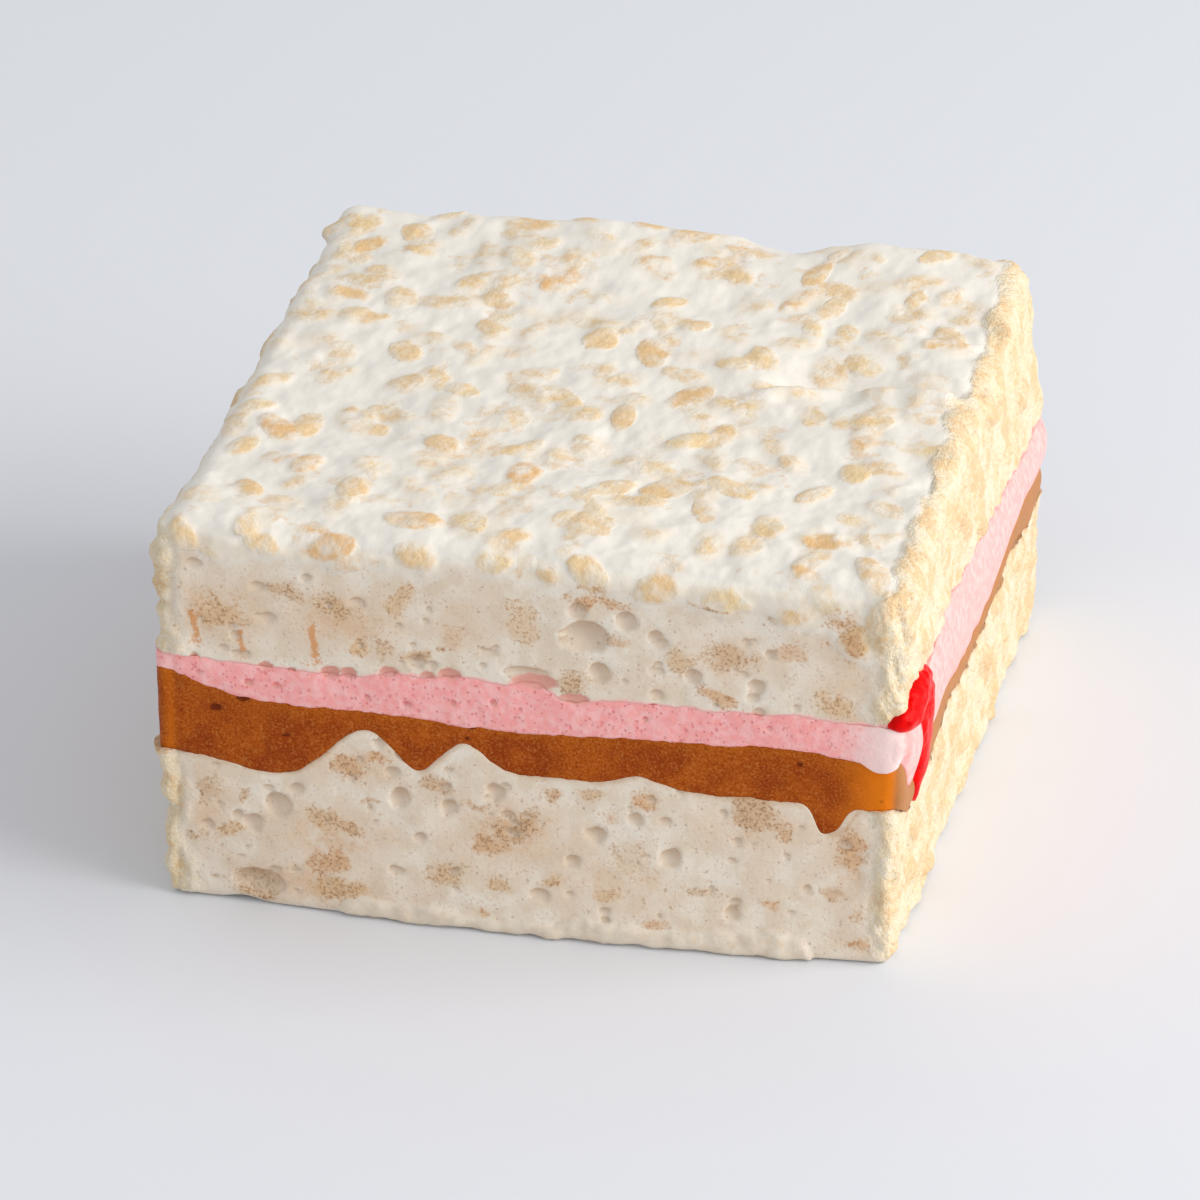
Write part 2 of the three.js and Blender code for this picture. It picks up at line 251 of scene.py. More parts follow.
# %% The joints between the layers
# Each joint has a level along the front with humps (x, rise, width), and a level along the right
# side with humps (y, rise, width).
JOINTS = {
    "lower_to_caramel": {
        "front": 19.0,
        "front_humps": [
            (-40, -0.9, 7),
            (-28, -2.6, 6.5),
            (-18.2, 3.9, 4.4),
            (-12, -1.3, 2.4),
            (-7, 3.3, 3.4),
            (5, 0.3, 5),
            (12, 1.3, 3),
            (31.7, -3.0, 1.1),
            (33.3, -2.6, 1.1),
        ],
        "right": 16.6,
        "right_humps": [(-14, 1.7, 4), (20, 1.2, 5), (32, -1.2, 3.5)],
    },
    "caramel_to_pink": {
        "front": 24.9,
        "front_humps": [(-41, 3.0, 6.5), (-2, -0.7, 9), (26, 0.5, 5), (37.5, -1.2, 2.2)],
        "right": 19.4,
        "right_humps": [(-17, 1.2, 5), (5, -1.0, 12), (27, 0.9, 6)],
    },
    "pink_to_upper": {
        "front": 29.0,
        "front_humps": [
            (-38, 0.5, 6),
            (-14.5, 0.9, 2.2),
            (-7, 1.2, 4.5),
            (0, 1.2, 2),
            (4.5, -0.6, 2),
            (28, 0.3, 3),
        ],
        "right": 29.4,
        "right_humps": [(-16, 1.6, 6), (12, -1.4, 8), (32, -3.9, 14)],
    },
}
PLAIN_WAVE = {"rise": 0.7, "length": 5.3}
FADE = {"along_left": 14, "along_back": 10, "along_right": 5}
JOINT_RIPPLE = {"rise": 0.2, "size": 1.7, "seed": 61}


def joint_level(name, x, y):
    """Height of a joint: a plain wave inside and at the back, faded into the front's humps near
    the front edge and into the right side's humps near that side, plus a small ripple."""
    joint = JOINTS[name]
    front = joint["front"] + sum(rise * bell(x - at, w) for at, rise, w in joint["front_humps"])
    right = joint["right"] + sum(rise * bell(y - at, w) for at, rise, w in joint["right_humps"])
    wave = PLAIN_WAVE["rise"] * np.sin((x - y) / PLAIN_WAVE["length"] + joint["front"])
    plain = (joint["front"] + joint["right"]) / 2 + wave
    back = y + DEPTH / 2
    near_front = 1 - smoothstep(back, 0, FADE["along_left"])
    near_right = smoothstep(x, WIDTH / 2 - FADE["along_back"], WIDTH / 2)
    near_right *= smoothstep(back, 0, FADE["along_right"])
    level = lerp(lerp(plain, front, near_front), right, near_right)
    place = np.stack([x, y, np.full_like(x, joint["front"])], axis=1)
    return level + JOINT_RIPPLE["rise"] * rough(place, JOINT_RIPPLE["size"], JOINT_RIPPLE["seed"])


along_front = np.linspace(-WIDTH / 2, WIDTH / 2, 161)
for joint in JOINTS:
    levels = joint_level(joint, along_front, np.full_like(along_front, -DEPTH / 2))
    print(joint, "at the front, mm:", round(levels.min(), 1), "to", round(levels.max(), 1))

# %% [markdown]
# ## A closed skin of small squares
# Each layer is one closed mesh. Its outside is the outside of a grid of cells, whose corners are
# placed by a formula. Where a layer lies on the next one, nothing shows, so that side is closed
# with a narrow ring and a fan instead of a full grid.

# %% Grid skins
CELLS = {"x": 290, "y": 150}
BACK_STRETCH = 0.33  # cells are this much shorter than even ones at the front, longer at the back


def face_grid(axes, counts, fixed, level):
    """Lattice points of one side of the grid and its squares, which face along u cross v."""
    u, v = axes
    iu, iv = np.meshgrid(np.arange(counts[u] + 1), np.arange(counts[v] + 1), indexing="ij")
    points = np.zeros((iu.size, 3), int)
    points[:, u] = iu.ravel()
    points[:, v] = iv.ravel()
    points[:, fixed] = level
    index = np.arange(iu.size).reshape(iu.shape)
    squares = np.stack([index[:-1, :-1], index[1:, :-1], index[1:, 1:], index[:-1, 1:]], axis=-1)
    return points, squares.reshape(-1, 4)


def grid_skin(counts, top, bottom):
    """The outside of a grid of counts cells, merged along its edges: the four walls, and the top
    and the bottom where they are asked for. Returns lattice points and squares."""
    sides = [((0, 2), 1, 0), ((2, 0), 1, counts[1]), ((1, 2), 0, counts[0]), ((2, 1), 0, 0)]
    if top:
        sides.append(((0, 1), 2, counts[2]))
    if bottom:
        sides.append(((1, 0), 2, 0))
    points, squares, start = [], [], 0
    for axes, fixed, level in sides:
        p, s = face_grid(axes, counts, fixed, level)
        points.append(p)
        squares.append(s + start)
        start += len(p)
    points = np.vstack(points)
    key = (points[:, 0] * (counts[1] + 1) + points[:, 1]) * (counts[2] + 1) + points[:, 2]
    _, first, merged = np.unique(key, return_index=True, return_inverse=True)
    return points[first], merged[np.vstack(squares)]


def rim_of(lattice, counts, level):
    """Indices of the lattice points round the grid's rim at that level, counter-clockwise."""
    nx, ny = counts[:2]
    on = np.flatnonzero(lattice[:, 2] == level)
    i, j = lattice[on, 0], lattice[on, 1]
    edge = (i == 0) | (i == nx) | (j == 0) | (j == ny)
    on, i, j = on[edge], i[edge], j[edge]
    along = np.where(j == 0, i, np.where(i == nx, nx + j, np.where(j == ny, 2 * nx + ny - i, 0)))
    left = (i == 0) & (j > 0)
    along = np.where(left, 2 * nx + 2 * ny - j, along)
    return on[np.argsort(along)]


def spacing(count, stretch=0.0):
    """count + 1 numbers from -0.5 to 0.5 whose steps grow evenly by stretch either way."""
    s = np.linspace(0, 1, count + 1)
    return s + stretch * (s * s - s) - 0.5


COLUMN_X = WIDTH * spacing(CELLS["x"])
COLUMN_Y = DEPTH * spacing(CELLS["y"], BACK_STRETCH)


def normals_of(points, squares):
    """Each point's normal: the sum of its squares' normals, each of which is the cross product
    of the square's diagonals."""
    diagonal_a = points[squares[:, 2]] - points[squares[:, 0]]
    diagonal_b = points[squares[:, 3]] - points[squares[:, 1]]
    faces = np.cross(diagonal_a, diagonal_b)
    total = np.zeros_like(points)
    for corner in range(4):
        for axis in range(3):
            total[:, axis] += np.bincount(squares[:, corner], faces[:, axis], len(points))
    return total / np.maximum(np.linalg.norm(total, axis=1), 1e-12)[:, None]


def layer_skin(rows, low, high, top, bottom):
    """A layer of the block between two levels, each a function of x and y. Returns its points on
    the block, its squares, how far up the layer each point is, from 0 to 1, and its open rims,
    each with 1 for an upper rim or -1 for a lower one."""
    counts = (CELLS["x"], CELLS["y"], rows)
    lattice, squares = grid_skin(counts, top, bottom)
    x = COLUMN_X[lattice[:, 0]]
    y = COLUMN_Y[lattice[:, 1]]
    share = lattice[:, 2] / rows
    z = lerp(low(x, y), high(x, y), share)
    points = on_block(np.stack([x, y, z], axis=1))
    rims = []
    if not top:
        rims.append((rim_of(lattice, counts, rows), 1))
    if not bottom:
        rims.append((rim_of(lattice, counts, 0), -1))
    return points, squares, share, rims


print("front cells, mm:", round(float(COLUMN_X[1] - COLUMN_X[0]), 2), "across")

# %% From arrays to a Blender mesh
RING_SPREAD = 0.93  # the hidden ring lies this far out from the middle


def close_rims(points, squares, rims):
    """Adds a ring just inside each open rim and a fan from it to the middle."""
    triangles, hidden = [], 0
    for rim, up in rims:
        hidden += 2 * len(rim)
        middle = points[rim].mean(axis=0)
        start = len(points)
        ring = lerp(middle, points[rim], RING_SPREAD)
        ring[:, 2] = points[rim, 2]
        points = np.vstack([points, ring, middle])
        inner = start + np.arange(len(rim))
        centre = np.full(len(rim), start + len(rim))
        following, inner_next = np.roll(rim, -1), np.roll(inner, -1)
        if up > 0:
            squares = np.vstack([squares, np.stack([rim, following, inner_next, inner], axis=1)])
            triangles.append(np.stack([inner, inner_next, centre], axis=1))
        else:
            squares = np.vstack([squares, np.stack([rim, inner, inner_next, following], axis=1)])
            triangles.append(np.stack([inner_next, inner, centre], axis=1))
    return points, squares, triangles, hidden


def make_piece(name, points, squares, triangles=(), attributes=None, material=None, hidden=0):
    """A mesh object from points in millimetres, squares and triangles, with one number for each
    point in every attribute. It is smooth-shaded, except for the last hidden faces, which close a
    joint: flat ones keep their direction out of the shading of the skin beside them."""
    corners = [squares.ravel()] + [t.ravel() for t in triangles]
    sizes = [np.full(len(squares), 4)] + [np.full(len(t), 3) for t in triangles]
    corners, sizes = np.concatenate(corners), np.concatenate(sizes)
    mesh = bpy.data.meshes.new(name)
    mesh.vertices.add(len(points))
    mesh.vertices.foreach_set("co", (points * MM).astype(np.float32).ravel())
    mesh.loops.add(len(corners))
    mesh.loops.foreach_set("vertex_index", corners.astype(np.int32))
    mesh.polygons.add(len(sizes))
    mesh.polygons.foreach_set("loop_start", (np.cumsum(sizes) - sizes).astype(np.int32))
    mesh.polygons.foreach_set("use_smooth", np.arange(len(sizes)) < len(sizes) - hidden)
    for key, values in (attributes or {}).items():
        padded = np.zeros(len(points), np.float32)
        padded[: len(values)] = values
        mesh.attributes.new(key, "FLOAT", "POINT").data.foreach_set("value", padded)
    mesh.update(calc_edges=True)
    mesh.validate()
    piece = bpy.data.objects.new(name, mesh)
    bpy.context.scene.collection.objects.link(piece)
    if material:
        mesh.materials.append(material)
    print(f"{name}: {int((sizes - 2).sum())} triangles")
    return piece


# %% [markdown]
# ## Puffs of rice
# Puffs lie just under the marshmallow skin and push it up. A puff is an ellipsoid, and its
# effect on the skin is how far along the skin's own normal the ellipsoid reaches. All puffs are
# blended with the skin by adding up exponentials, which draws the marshmallow up round each one.

# %% The puffs' places
PUFF = {"length": 6.4, "width": 3.9, "thickness": 3.3, "spread": 0.26}
TOP_PUFFS = {"seed": 4271, "columns": 12, "rows": 12, "wander": 0.36, "inset": 2.2, "tilt": 0.18}
TOP_SUNK = (0.62, 0.84)
SIDE_PUFFS = {
    "heights": [3.6, 8.4, 13.4, 32.6, 37.2, 41.6],
    "columns": 6,
    "along": 0.42,
    "up": 1.8,
}
SIDE_TILT = 1.2
SIDE_SUNK = (0.62, 0.86)
SIDES = [(811, (1, 0)), (1723, (0, 1)), (2909, (-1, 0))]


def turned(about_x, about_y, about_z):
    """Rotation matrix: about X first, then Y, then Z."""
    cx, sx = math.cos(about_x), math.sin(about_x)
    cy, sy = math.cos(about_y), math.sin(about_y)
    cz, sz = math.cos(about_z), math.sin(about_z)
    x = np.array([[1, 0, 0], [0, cx, -sx], [0, sx, cx]])
    y = np.array([[cy, 0, sy], [0, 1, 0], [-sy, 0, cy]])
    z = np.array([[cz, -sz, 0], [sz, cz, 0], [0, 0, 1]])
    return z @ y @ x


def puff_size(draw):
    low, high = 1 - PUFF["spread"], 1 + PUFF["spread"]
    return np.array([PUFF[key] * draw(low, high) for key in ("length", "width", "thickness")])


def top_puffs():
    """One puff in each cell of a grid over the top, moved about in its cell and mostly sunk."""
    draw = random_from(TOP_PUFFS["seed"])
    inset, wander = TOP_PUFFS["inset"], TOP_PUFFS["wander"]
    cell_x = (WIDTH - 2 * inset) / TOP_PUFFS["columns"]
    cell_y = (DEPTH - 2 * inset) / TOP_PUFFS["rows"]
    found = []
    for row, column in np.ndindex(TOP_PUFFS["rows"], TOP_PUFFS["columns"]):
        x = -WIDTH / 2 + inset + cell_x * (column + 0.5 + draw(-wander, wander))
        y = -DEPTH / 2 + inset + cell_y * (row + 0.5 + draw(-wander, wander))
        size = puff_size(draw)
        turn = turned(0, draw(-TOP_PUFFS["tilt"], TOP_PUFFS["tilt"]), draw(0, math.pi))
        depth = size[2] * (draw(*TOP_SUNK) - 0.5)
        found.append((np.array([x, y, top_level(x, y) - depth]), size, turn))
    return found


def side_puffs(seed, out):
    """Rows of torn puffs along one rough side, at the same heights and places as the solids'."""
    draw = random_from(seed)
    out = np.array(out, float)
    along = np.array([-out[1], out[0]])
    wander, lift = SIDE_PUFFS["along"], SIDE_PUFFS["up"]
    found = []
    for height in SIDE_PUFFS["heights"]:
        for column in range(SIDE_PUFFS["columns"]):
            s = (column + 0.5 + draw(-wander, wander)) / SIDE_PUFFS["columns"] - 0.5
            rise = draw(-lift, lift)
            size = puff_size(draw)
            z = max(height + rise, size[0] / 2)
            tilts = (draw(-SIDE_TILT, SIDE_TILT) / 2, draw(-SIDE_TILT, SIDE_TILT))
            heading = math.atan2(along[1], along[0]) + draw(-0.3, 0.3)
            depth = size[1] * (draw(*SIDE_SUNK) - 0.5)
            flat = along * s * (WIDTH - PUFF["length"]) + out * WIDTH / 2
            at = lean(np.array([[*flat, z]]))[0]
            at[:2] -= out * depth
            found.append((at, size, turned(*tilts, heading)))
    return found


# Smaller and broken puffs fill the spaces between the large ones, all over the top.
FILLER = {"seed": 515, "count": 110, "scale": (0.6, 1.0), "sunk": (0.66, 0.86), "tilt": 0.3}


def filler_puffs():
    """Puffs at random places on top, in all sizes up to a whole one."""
    draw = random_from(FILLER["seed"])
    found = []
    for _ in range(FILLER["count"]):
        x, y = draw(-WIDTH / 2 + 1, WIDTH / 2 - 1), draw(-DEPTH / 2 + 1, DEPTH / 2 - 1)
        size = puff_size(draw) * draw(*FILLER["scale"])
        turn = turned(0, draw(-FILLER["tilt"], FILLER["tilt"]), draw(0, math.pi))
        depth = size[2] * (draw(*FILLER["sunk"]) - 0.5)
        found.append((np.array([x, y, top_level(x, y) - depth]), size, turn))
    return found


# Puffs that bulge out over the front edge: x, z, length, turn in degrees.
EDGE_PUFFS = [
    (-37.0, 43.6, 5.5, 60),
    (-34.5, 42.0, 4.5, 20),
    (-28.5, 43.6, 4.6, 10),
    (-21.0, 43.9, 5.4, -15),
    (-12.0, 43.6, 5.0, 10),
    (-4.2, 43.7, 5.2, -20),
    (2.2, 43.0, 4.4, 25),
    (6.4, 43.6, 5.6, 35),
    (13.6, 42.6, 6.0, -10),
    (21.0, 42.0, 6.2, 5),
    (28.0, 41.2, 5.6, -20),
    (31.5, 42.9, 5.0, 30),
    (34.0, 38.4, 6.4, -55),
    (37.0, 41.4, 6.8, 80),
]


def edge_puffs():
    found = []
    for x, z, length, angle in EDGE_PUFFS:
        size = np.array([length, length * 0.62, length * 0.55])
        turn = turned(0, math.radians(angle), 0)
        found.append((np.array([x, -DEPTH / 2 + 0.7, z]), size, turn))
    return found


PUFFS = top_puffs() + [puff for seed, out in SIDES for puff in side_puffs(seed, out)]
PUFFS += filler_puffs() + edge_puffs()
print("puffs:", len(PUFFS))


# %% How far the puffs lift a skin
BLEND = 0.3  # how widely the marshmallow is drawn up round a puff
FAR_BELOW = -9.0  # the reach of the highest puff where there is none near


def reach_of(puff, points, normals):
    """How far along its normal each point lies from the puff's surface: the larger root t of
    |q + t m| = 1, where q and m are the point and the normal in the puff's own unit sphere.
    Beside the puff, the root's real part less its imaginary part carries it on smoothly."""
    centre, size, turn = puff
    to_unit = turn / (size / 2)
    q = (points - centre) @ to_unit
    m = normals @ to_unit
    mm = np.einsum("ij,ij->i", m, m)
    qm = np.einsum("ij,ij->i", q, m)
    inside = qm**2 - mm * (np.einsum("ij,ij->i", q, q) - 1)
    return (-qm + np.sign(inside) * np.sqrt(np.abs(inside))) / mm


def lift_by_puffs(points, normals, puffs):
    """The lift of the skin, and how far the highest puff at each point stands over the bare skin,
    with that puff's number. Only points within a puff's own length are looked at."""
    total = np.ones(len(points))
    highest = np.full(len(points), FAR_BELOW)
    which = np.zeros(len(points), int)
    for number, puff in enumerate(puffs):
        near = np.flatnonzero(np.abs(points - puff[0]).max(axis=1) < puff[1][0] * 0.75)
        if len(near) == 0:
            continue
        reach = reach_of(puff, points[near], normals[near])
        total[near] += np.exp(np.clip(reach, -3, 3) / BLEND)
        better = reach > highest[near]
        highest[near[better]] = reach[better]
        which[near[better]] = number
    return BLEND * np.log(total), highest, which


straight_up = np.array([[0.0, 0.0, 1.0]])
first_lift = lift_by_puffs(PUFFS[0][0][None], straight_up, PUFFS)[0][0]
print("lift over the middle of the first puff, mm:", round(float(first_lift), 2))

# %% [markdown]
# ## Bubbles in the cut front
# The knife opens bubbles in the marshmallow, and each is a real hollow. The large ones stand
# where they do on the real treat, and small ones are scattered between them. A few lie on the
# pink joint, half in the slab and half in the pink.

# %% Bubbles
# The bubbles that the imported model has: x, z, half height, half width.
BUBBLES = [
    (5.9, 36.4, 1.9, 2.6),
    (5.1, 39.4, 1.0, 1.0),
    (10.2, 38.6, 1.2, 1.2),
    (13.4, 37.1, 0.9, 0.9),
    (17.3, 32.9, 1.0, 1.0),
    (24.0, 32.4, 1.0, 1.0),
    (28.9, 39.9, 0.8, 0.8),
    (7.4, 32.3, 1.2, 1.2),
    (-12.2, 31.6, 1.0, 1.0),
    (-0.5, 31.4, 0.8, 2.6),
    (-27.8, 12.6, 1.5, 1.5),
    (-30.6, 10.1, 1.2, 1.2),
    (-14.4, 15.0, 1.2, 1.2),
    (-9.0, 14.4, 1.0, 1.0),
    (-3.9, 16.8, 1.1, 1.1),
    (6.8, 12.9, 1.1, 1.1),
    (4.3, 9.6, 0.9, 0.9),
    (14.8, 10.9, 1.2, 1.2),
    (11.2, 15.3, 0.9, 0.9),
    (21.4, 5.1, 0.9, 0.9),
    (-30.2, 2.8, 1.7, 3.0),
]
SMALL_BUBBLES = {
    "seed": 77,
    "count": 150,
    "radius": (0.28, 0.7),
    "inset": 2,
    "heights": (1.5, HEIGHT - 4),
    "widening": (0.9, 1.6),
}
# Bubbles that the knife opened along the pink joint, half in the slab and half in the pink.
JOINT_BUBBLES = [
    (-21.6, 29.3, 0.75, 1.1),
    (-19.6, 29.3, 0.7, 0.9),
    (-15.2, 29.9, 0.6, 1.1),
    (-11.0, 30.0, 0.5, 0.8),
    (-8.6, 30.4, 0.65, 1.2),
    (0.4, 30.4, 0.9, 2.6),
    (4.6, 28.9, 0.6, 1.7),
    (-28.6, 29.3, 0.45, 0.9),
]

BUBBLE_RIM = {"size": 1.1, "seeds": (5, 6), "reach": 0.2}  # the noise that bends a bubble's rim
BOWL_DEPTH = 0.55  # of a bubble's half height


def all_bubbles():
    """The large bubbles, and small ones at random places over the front."""
    random = np.random.default_rng(SMALL_BUBBLES["seed"])
    count, inset = SMALL_BUBBLES["count"], SMALL_BUBBLES["inset"]
    x = random.uniform(-WIDTH / 2 + inset, WIDTH / 2 - inset, count)
    z = random.uniform(*SMALL_BUBBLES["heights"], count)
    radius = random.uniform(*SMALL_BUBBLES["radius"], count)
    half_width = radius * random.uniform(*SMALL_BUBBLES["widening"], count)
    small = np.stack([x, z, radius, half_width], axis=1)
    return np.vstack([np.array(BUBBLES + JOINT_BUBBLES), small])


def shifted(points, rim):
    """x and z of each point, each shifted about by a cloudy field of its own, so that no outline
    is a true oval."""
    across, up = (rim["reach"] * cloudy(points, rim["size"], seed) for seed in rim["seeds"])
    return points[:, 0] + across, points[:, 2] + up


def on_front(points):
    return points[:, 1] < -DEPTH / 4


def hollows(points, bubbles):
    """The bubbles at each point of the front: their depth; a field that is 1 in the middle of a
    bubble, 0 on its rim and below 0 outside; and how high in its bubble the point is, from -1 to
    1. With u and v measured in half widths and half heights, the field is 1 - u^2 - v^2, and the
    depth is in proportion to its square root."""
    x, z = shifted(points, BUBBLE_RIM)
    depth, field, height = (np.full(len(points), start) for start in (0.0, -1.0, 0.0))
    for bx, bz, half_height, half_width in bubbles:
        near = (abs(x - bx) < 2 * half_width) & (abs(z - bz) < 2 * half_height)
        near = np.flatnonzero(near & on_front(points))
        up = (z[near] - bz) / half_height
        share = 1 - ((x[near] - bx) / half_width) ** 2 - up**2
        better = share > field[near]
        field[near[better]] = share[better]
        height[near[better]] = up[better]
        bowl = BOWL_DEPTH * half_height * np.sqrt(np.clip(share, 0, 1))
        depth[near] = np.maximum(depth[near], bowl)
    return depth, field, height


print("bubbles in the front:", len(all_bubbles()))

# %% [markdown]
# ## Sliced rice in the cut front
# The knife also slices puffs through. A sliced puff is a porous tan spot in an almost flat face,
# with crumbs smeared through the foam round it, and a few thin toasted streaks. Each is a number
# at every point of the skin, and the slab's finish turns these numbers into colour.

# %% Where the sliced puffs, smears and streaks are
# Sliced puffs: x, z, width, height, turn in degrees, strength.
SPOTS = [
    (-33.4, 35.4, 7.0, 3.2, -5, 0.8),
    (-37.7, 38.2, 2.0, 1.6, 0, 0.6),
    (-26.6, 38.6, 3.8, 2.6, 10, 0.6),
    (-20.9, 37.2, 6.6, 3.0, -15, 0.8),
    (-13.7, 38.4, 2.4, 4.8, -35, 0.6),
    (-1.1, 37.6, 3.8, 5.8, 10, 0.5),
    (-39.1, 33.7, 2.4, 5.0, 0, 0.6),
    (-15.9, 33.0, 3.0, 2.6, 0, 0.5),
    (-18.4, 32.2, 1.8, 2.0, 0, 0.8),
    (-11.8, 32.2, 3.2, 2.0, 0, 0.7),
    (-8.0, 35.0, 3.0, 3.0, 0, 0.35),
    (-9.2, 33.4, 1.6, 1.6, 0, 0.9),
    (7.0, 41.2, 8.6, 2.6, -6, 0.9),
    (9.0, 36.6, 3.2, 1.4, -8, 0.5),
    (21.3, 35.6, 5.8, 3.6, 0, 0.6),
    (16.3, 34.2, 2.8, 3.4, 20, 0.6),
    (20.3, 30.8, 4.4, 2.4, -20, 0.8),
    (4.6, 31.0, 4.0, 2.8, 0, 0.8),
    (32.7, 31.0, 4.6, 3.2, -15, 0.7),
    (34.1, 39.0, 6.4, 5.4, -40, 0.8),
    (27.4, 36.8, 4.2, 2.4, 0, 0.5),
    (18.5, 40.9, 7.0, 0.9, -6, 1.0),
    (-36.0, 13.8, 4.6, 3.0, 0, 0.6),
    (-31.8, 13.4, 2.2, 1.8, 0, 0.6),
    (-20.1, 18.4, 4.8, 2.6, 0, 0.9),
    (-16.6, 19.3, 3.4, 1.6, 0, 0.7),
    (-10.1, 17.0, 4.0, 2.0, 0, 0.6),
    (-17.6, 14.6, 2.2, 1.6, 0, 0.6),
    (-23.2, 11.3, 3.6, 3.2, 20, 0.7),
    (-20.0, 10.3, 4.8, 2.0, -10, 0.9),
    (-6.4, 15.2, 3.6, 1.6, 0, 0.5),
    (-1.6, 13.0, 6.4, 3.2, 30, 0.8),
    (-4.2, 10.4, 4.6, 2.6, 30, 0.7),
    (-33.4, 8.8, 2.6, 2.0, 0, 0.6),
    (-38.4, 7.6, 2.4, 2.0, 0, 0.7),
    (-22.2, 6.3, 4.8, 2.6, 10, 0.7),
    (-9.3, 6.2, 5.0, 3.2, 25, 0.7),
    (-30.5, 2.2, 5.2, 4.6, 0, 0.9),
    (-21.7, 3.0, 7.0, 3.0, 0, 0.9),
    (-5.6, 1.9, 2.4, 1.6, 0, 0.6),
    (-3.8, 5.6, 2.4, 1.6, 0, 0.6),
    (2.1, 17.2, 3.0, 2.0, 0, 0.7),
    (6.2, 18.0, 3.0, 2.0, 0, 0.6),
    (12.4, 17.8, 3.6, 2.4, 0, 0.7),
    (8.6, 15.4, 3.0, 1.8, 0, 0.4),
    (24.0, 17.3, 6.6, 4.0, -20, 0.8),
    (27.1, 15.4, 2.6, 2.0, 0, 0.7),
    (34.6, 13.5, 5.8, 5.2, -60, 0.7),
    (10.5, 10.6, 5.2, 4.0, -20, 0.35),
    (2.2, 6.8, 2.6, 2.0, 0, 0.7),
    (7.9, 6.0, 4.0, 1.6, 0, 0.5),
    (18.3, 7.2, 4.0, 1.6, 0, 0.5),
    (32.1, 8.4, 2.4, 2.0, 0, 0.6),
    (36.2, 6.6, 3.6, 3.0, 0, 0.6),
    (25.9, 6.6, 2.4, 1.8, 0, 0.5),
    (35.4, 2.3, 4.6, 2.0, 0, 0.6),
    (13.2, 3.0, 3.6, 1.6, 0, 0.5),
]
# Zones in which crumbs of rice are smeared through the foam: x, z, width, height, strength.
HAZES = [
    (-34, 35.5, 15, 8, 1.0),
    (-20.5, 35.5, 14, 8, 1.0),
    (-39, 36, 6, 16, 0.8),
    (-7, 37, 12, 9, 0.5),
    (21, 35, 12, 6, 0.6),
    (6, 31, 14, 4, 0.5),
    (34, 33, 10, 12, 0.6),
    (-36, 11, 8, 14, 0.7),
    (-22, 9, 14, 9, 0.9),
    (-24, 3.5, 20, 6, 0.9),
    (-3, 12, 15, 9, 0.9),
    (-19, 18, 12, 4, 0.8),
    (24, 16, 13, 8, 0.7),
    (35, 12, 9, 20, 0.7),
    (8, 7, 16, 7, 0.6),
]
# Thin upright streaks, toasted orange: x, z, width, height.
STREAKS = [(-36.1, 33.0, 0.9, 4.8), (-31.3, 31.6, 0.8, 3.8), (-23.4, 32.2, 0.9, 5.4)]

print("sliced puffs:", len(SPOTS), "smears:", len(HAZES), "streaks:", len(STREAKS))

# %% Fields of the sliced puffs, smears and streaks
SPOT_RIM = {"size": 1.9, "seeds": (15, 16), "reach": 0.8}
TONE_SEED = 29
HAZE_SPREAD = 0.9
STREAK_BEND = {"size": 1.3, "seed": 71, "reach": 0.5}
STREAK_FOOT = {"wider": 1.6, "weaker": 0.45}


def sliced_puffs(points, spots):
    """The sliced puffs at each point of the front: a field that is 1 in the middle of a puff, 0 on
    its rim and below 0 outside, its strength, and its tone, which is random. Each is an oval
    turned by its angle: with u and v in half sizes, the field is 1 less the length of (u, v)."""
    x, z = shifted(points, SPOT_RIM)
    tones = np.random.default_rng(TONE_SEED).uniform(0, 1, len(spots))
    field, strength, tone = (np.full(len(points), start) for start in (-1.0, 0.0, 0.0))
    for number, (sx, sz, width, height, angle, full) in enumerate(spots):
        near = np.hypot(x - sx, z - sz) < max(width, height)
        near = np.flatnonzero(near & on_front(points))
        cos, sin = math.cos(math.radians(angle)), math.sin(math.radians(angle))
        u = ((x[near] - sx) * cos + (z[near] - sz) * sin) / (width / 2)
        v = ((z[near] - sz) * cos - (x[near] - sx) * sin) / (height / 2)
        value = 1 - np.hypot(u, v)
        better = value > field[near]
        field[near[better]] = value[better]
        strength[near[better]] = full
        tone[near[better]] = tones[number]
    return field, strength, tone


def hazes(points, zones):
    """How much rice is smeared through the foam: the strongest zone's own bell at each point."""
    shown = np.zeros(len(points))
    for x, z, width, height, strength in zones:
        distance = np.hypot((points[:, 0] - x) / (width / 2), (points[:, 2] - z) / (height / 2))
        shown = np.maximum(shown, strength * bell(distance, HAZE_SPREAD))
    return shown


def streaks(points):
    """1 on the thin upright streaks: a bell across each one, which is thin at the top and wide and
    weak at the foot, faded out at its two ends."""
    bend = cloudy(points, STREAK_BEND["size"], STREAK_BEND["seed"])
    x = points[:, 0] + STREAK_BEND["reach"] * bend
    shown = np.zeros(len(points))
    for sx, sz, width, height in STREAKS:
        down = (sz - points[:, 2]) / height
        foot = smoothstep(down, -0.1, 0.5)
        along = (1 - smoothstep(np.abs(down), 0.4, 0.6)) * (1 - STREAK_FOOT["weaker"] * foot)
        across = bell(x - sx, width / 2 * (1 + STREAK_FOOT["wider"] * foot))
        shown = np.maximum(shown, across * along)
    return shown


middle_of_first = np.array([[SPOTS[0][0], -DEPTH / 2, SPOTS[0][1]]])
print("field near the middle of the first spot:", sliced_puffs(middle_of_first, SPOTS)[0].round(2))

# %% [markdown]
# ## Relief of a rice slab
# Every point of a slab's skin is moved along its own normal. On top the marshmallow is soft and
# lumpy. The front is cut flat, with bubbles, and the skin rolls over its upper edge in a lip.
# The other three sides are torn: crags and upright fibres. At the foot a smooth skin remains.

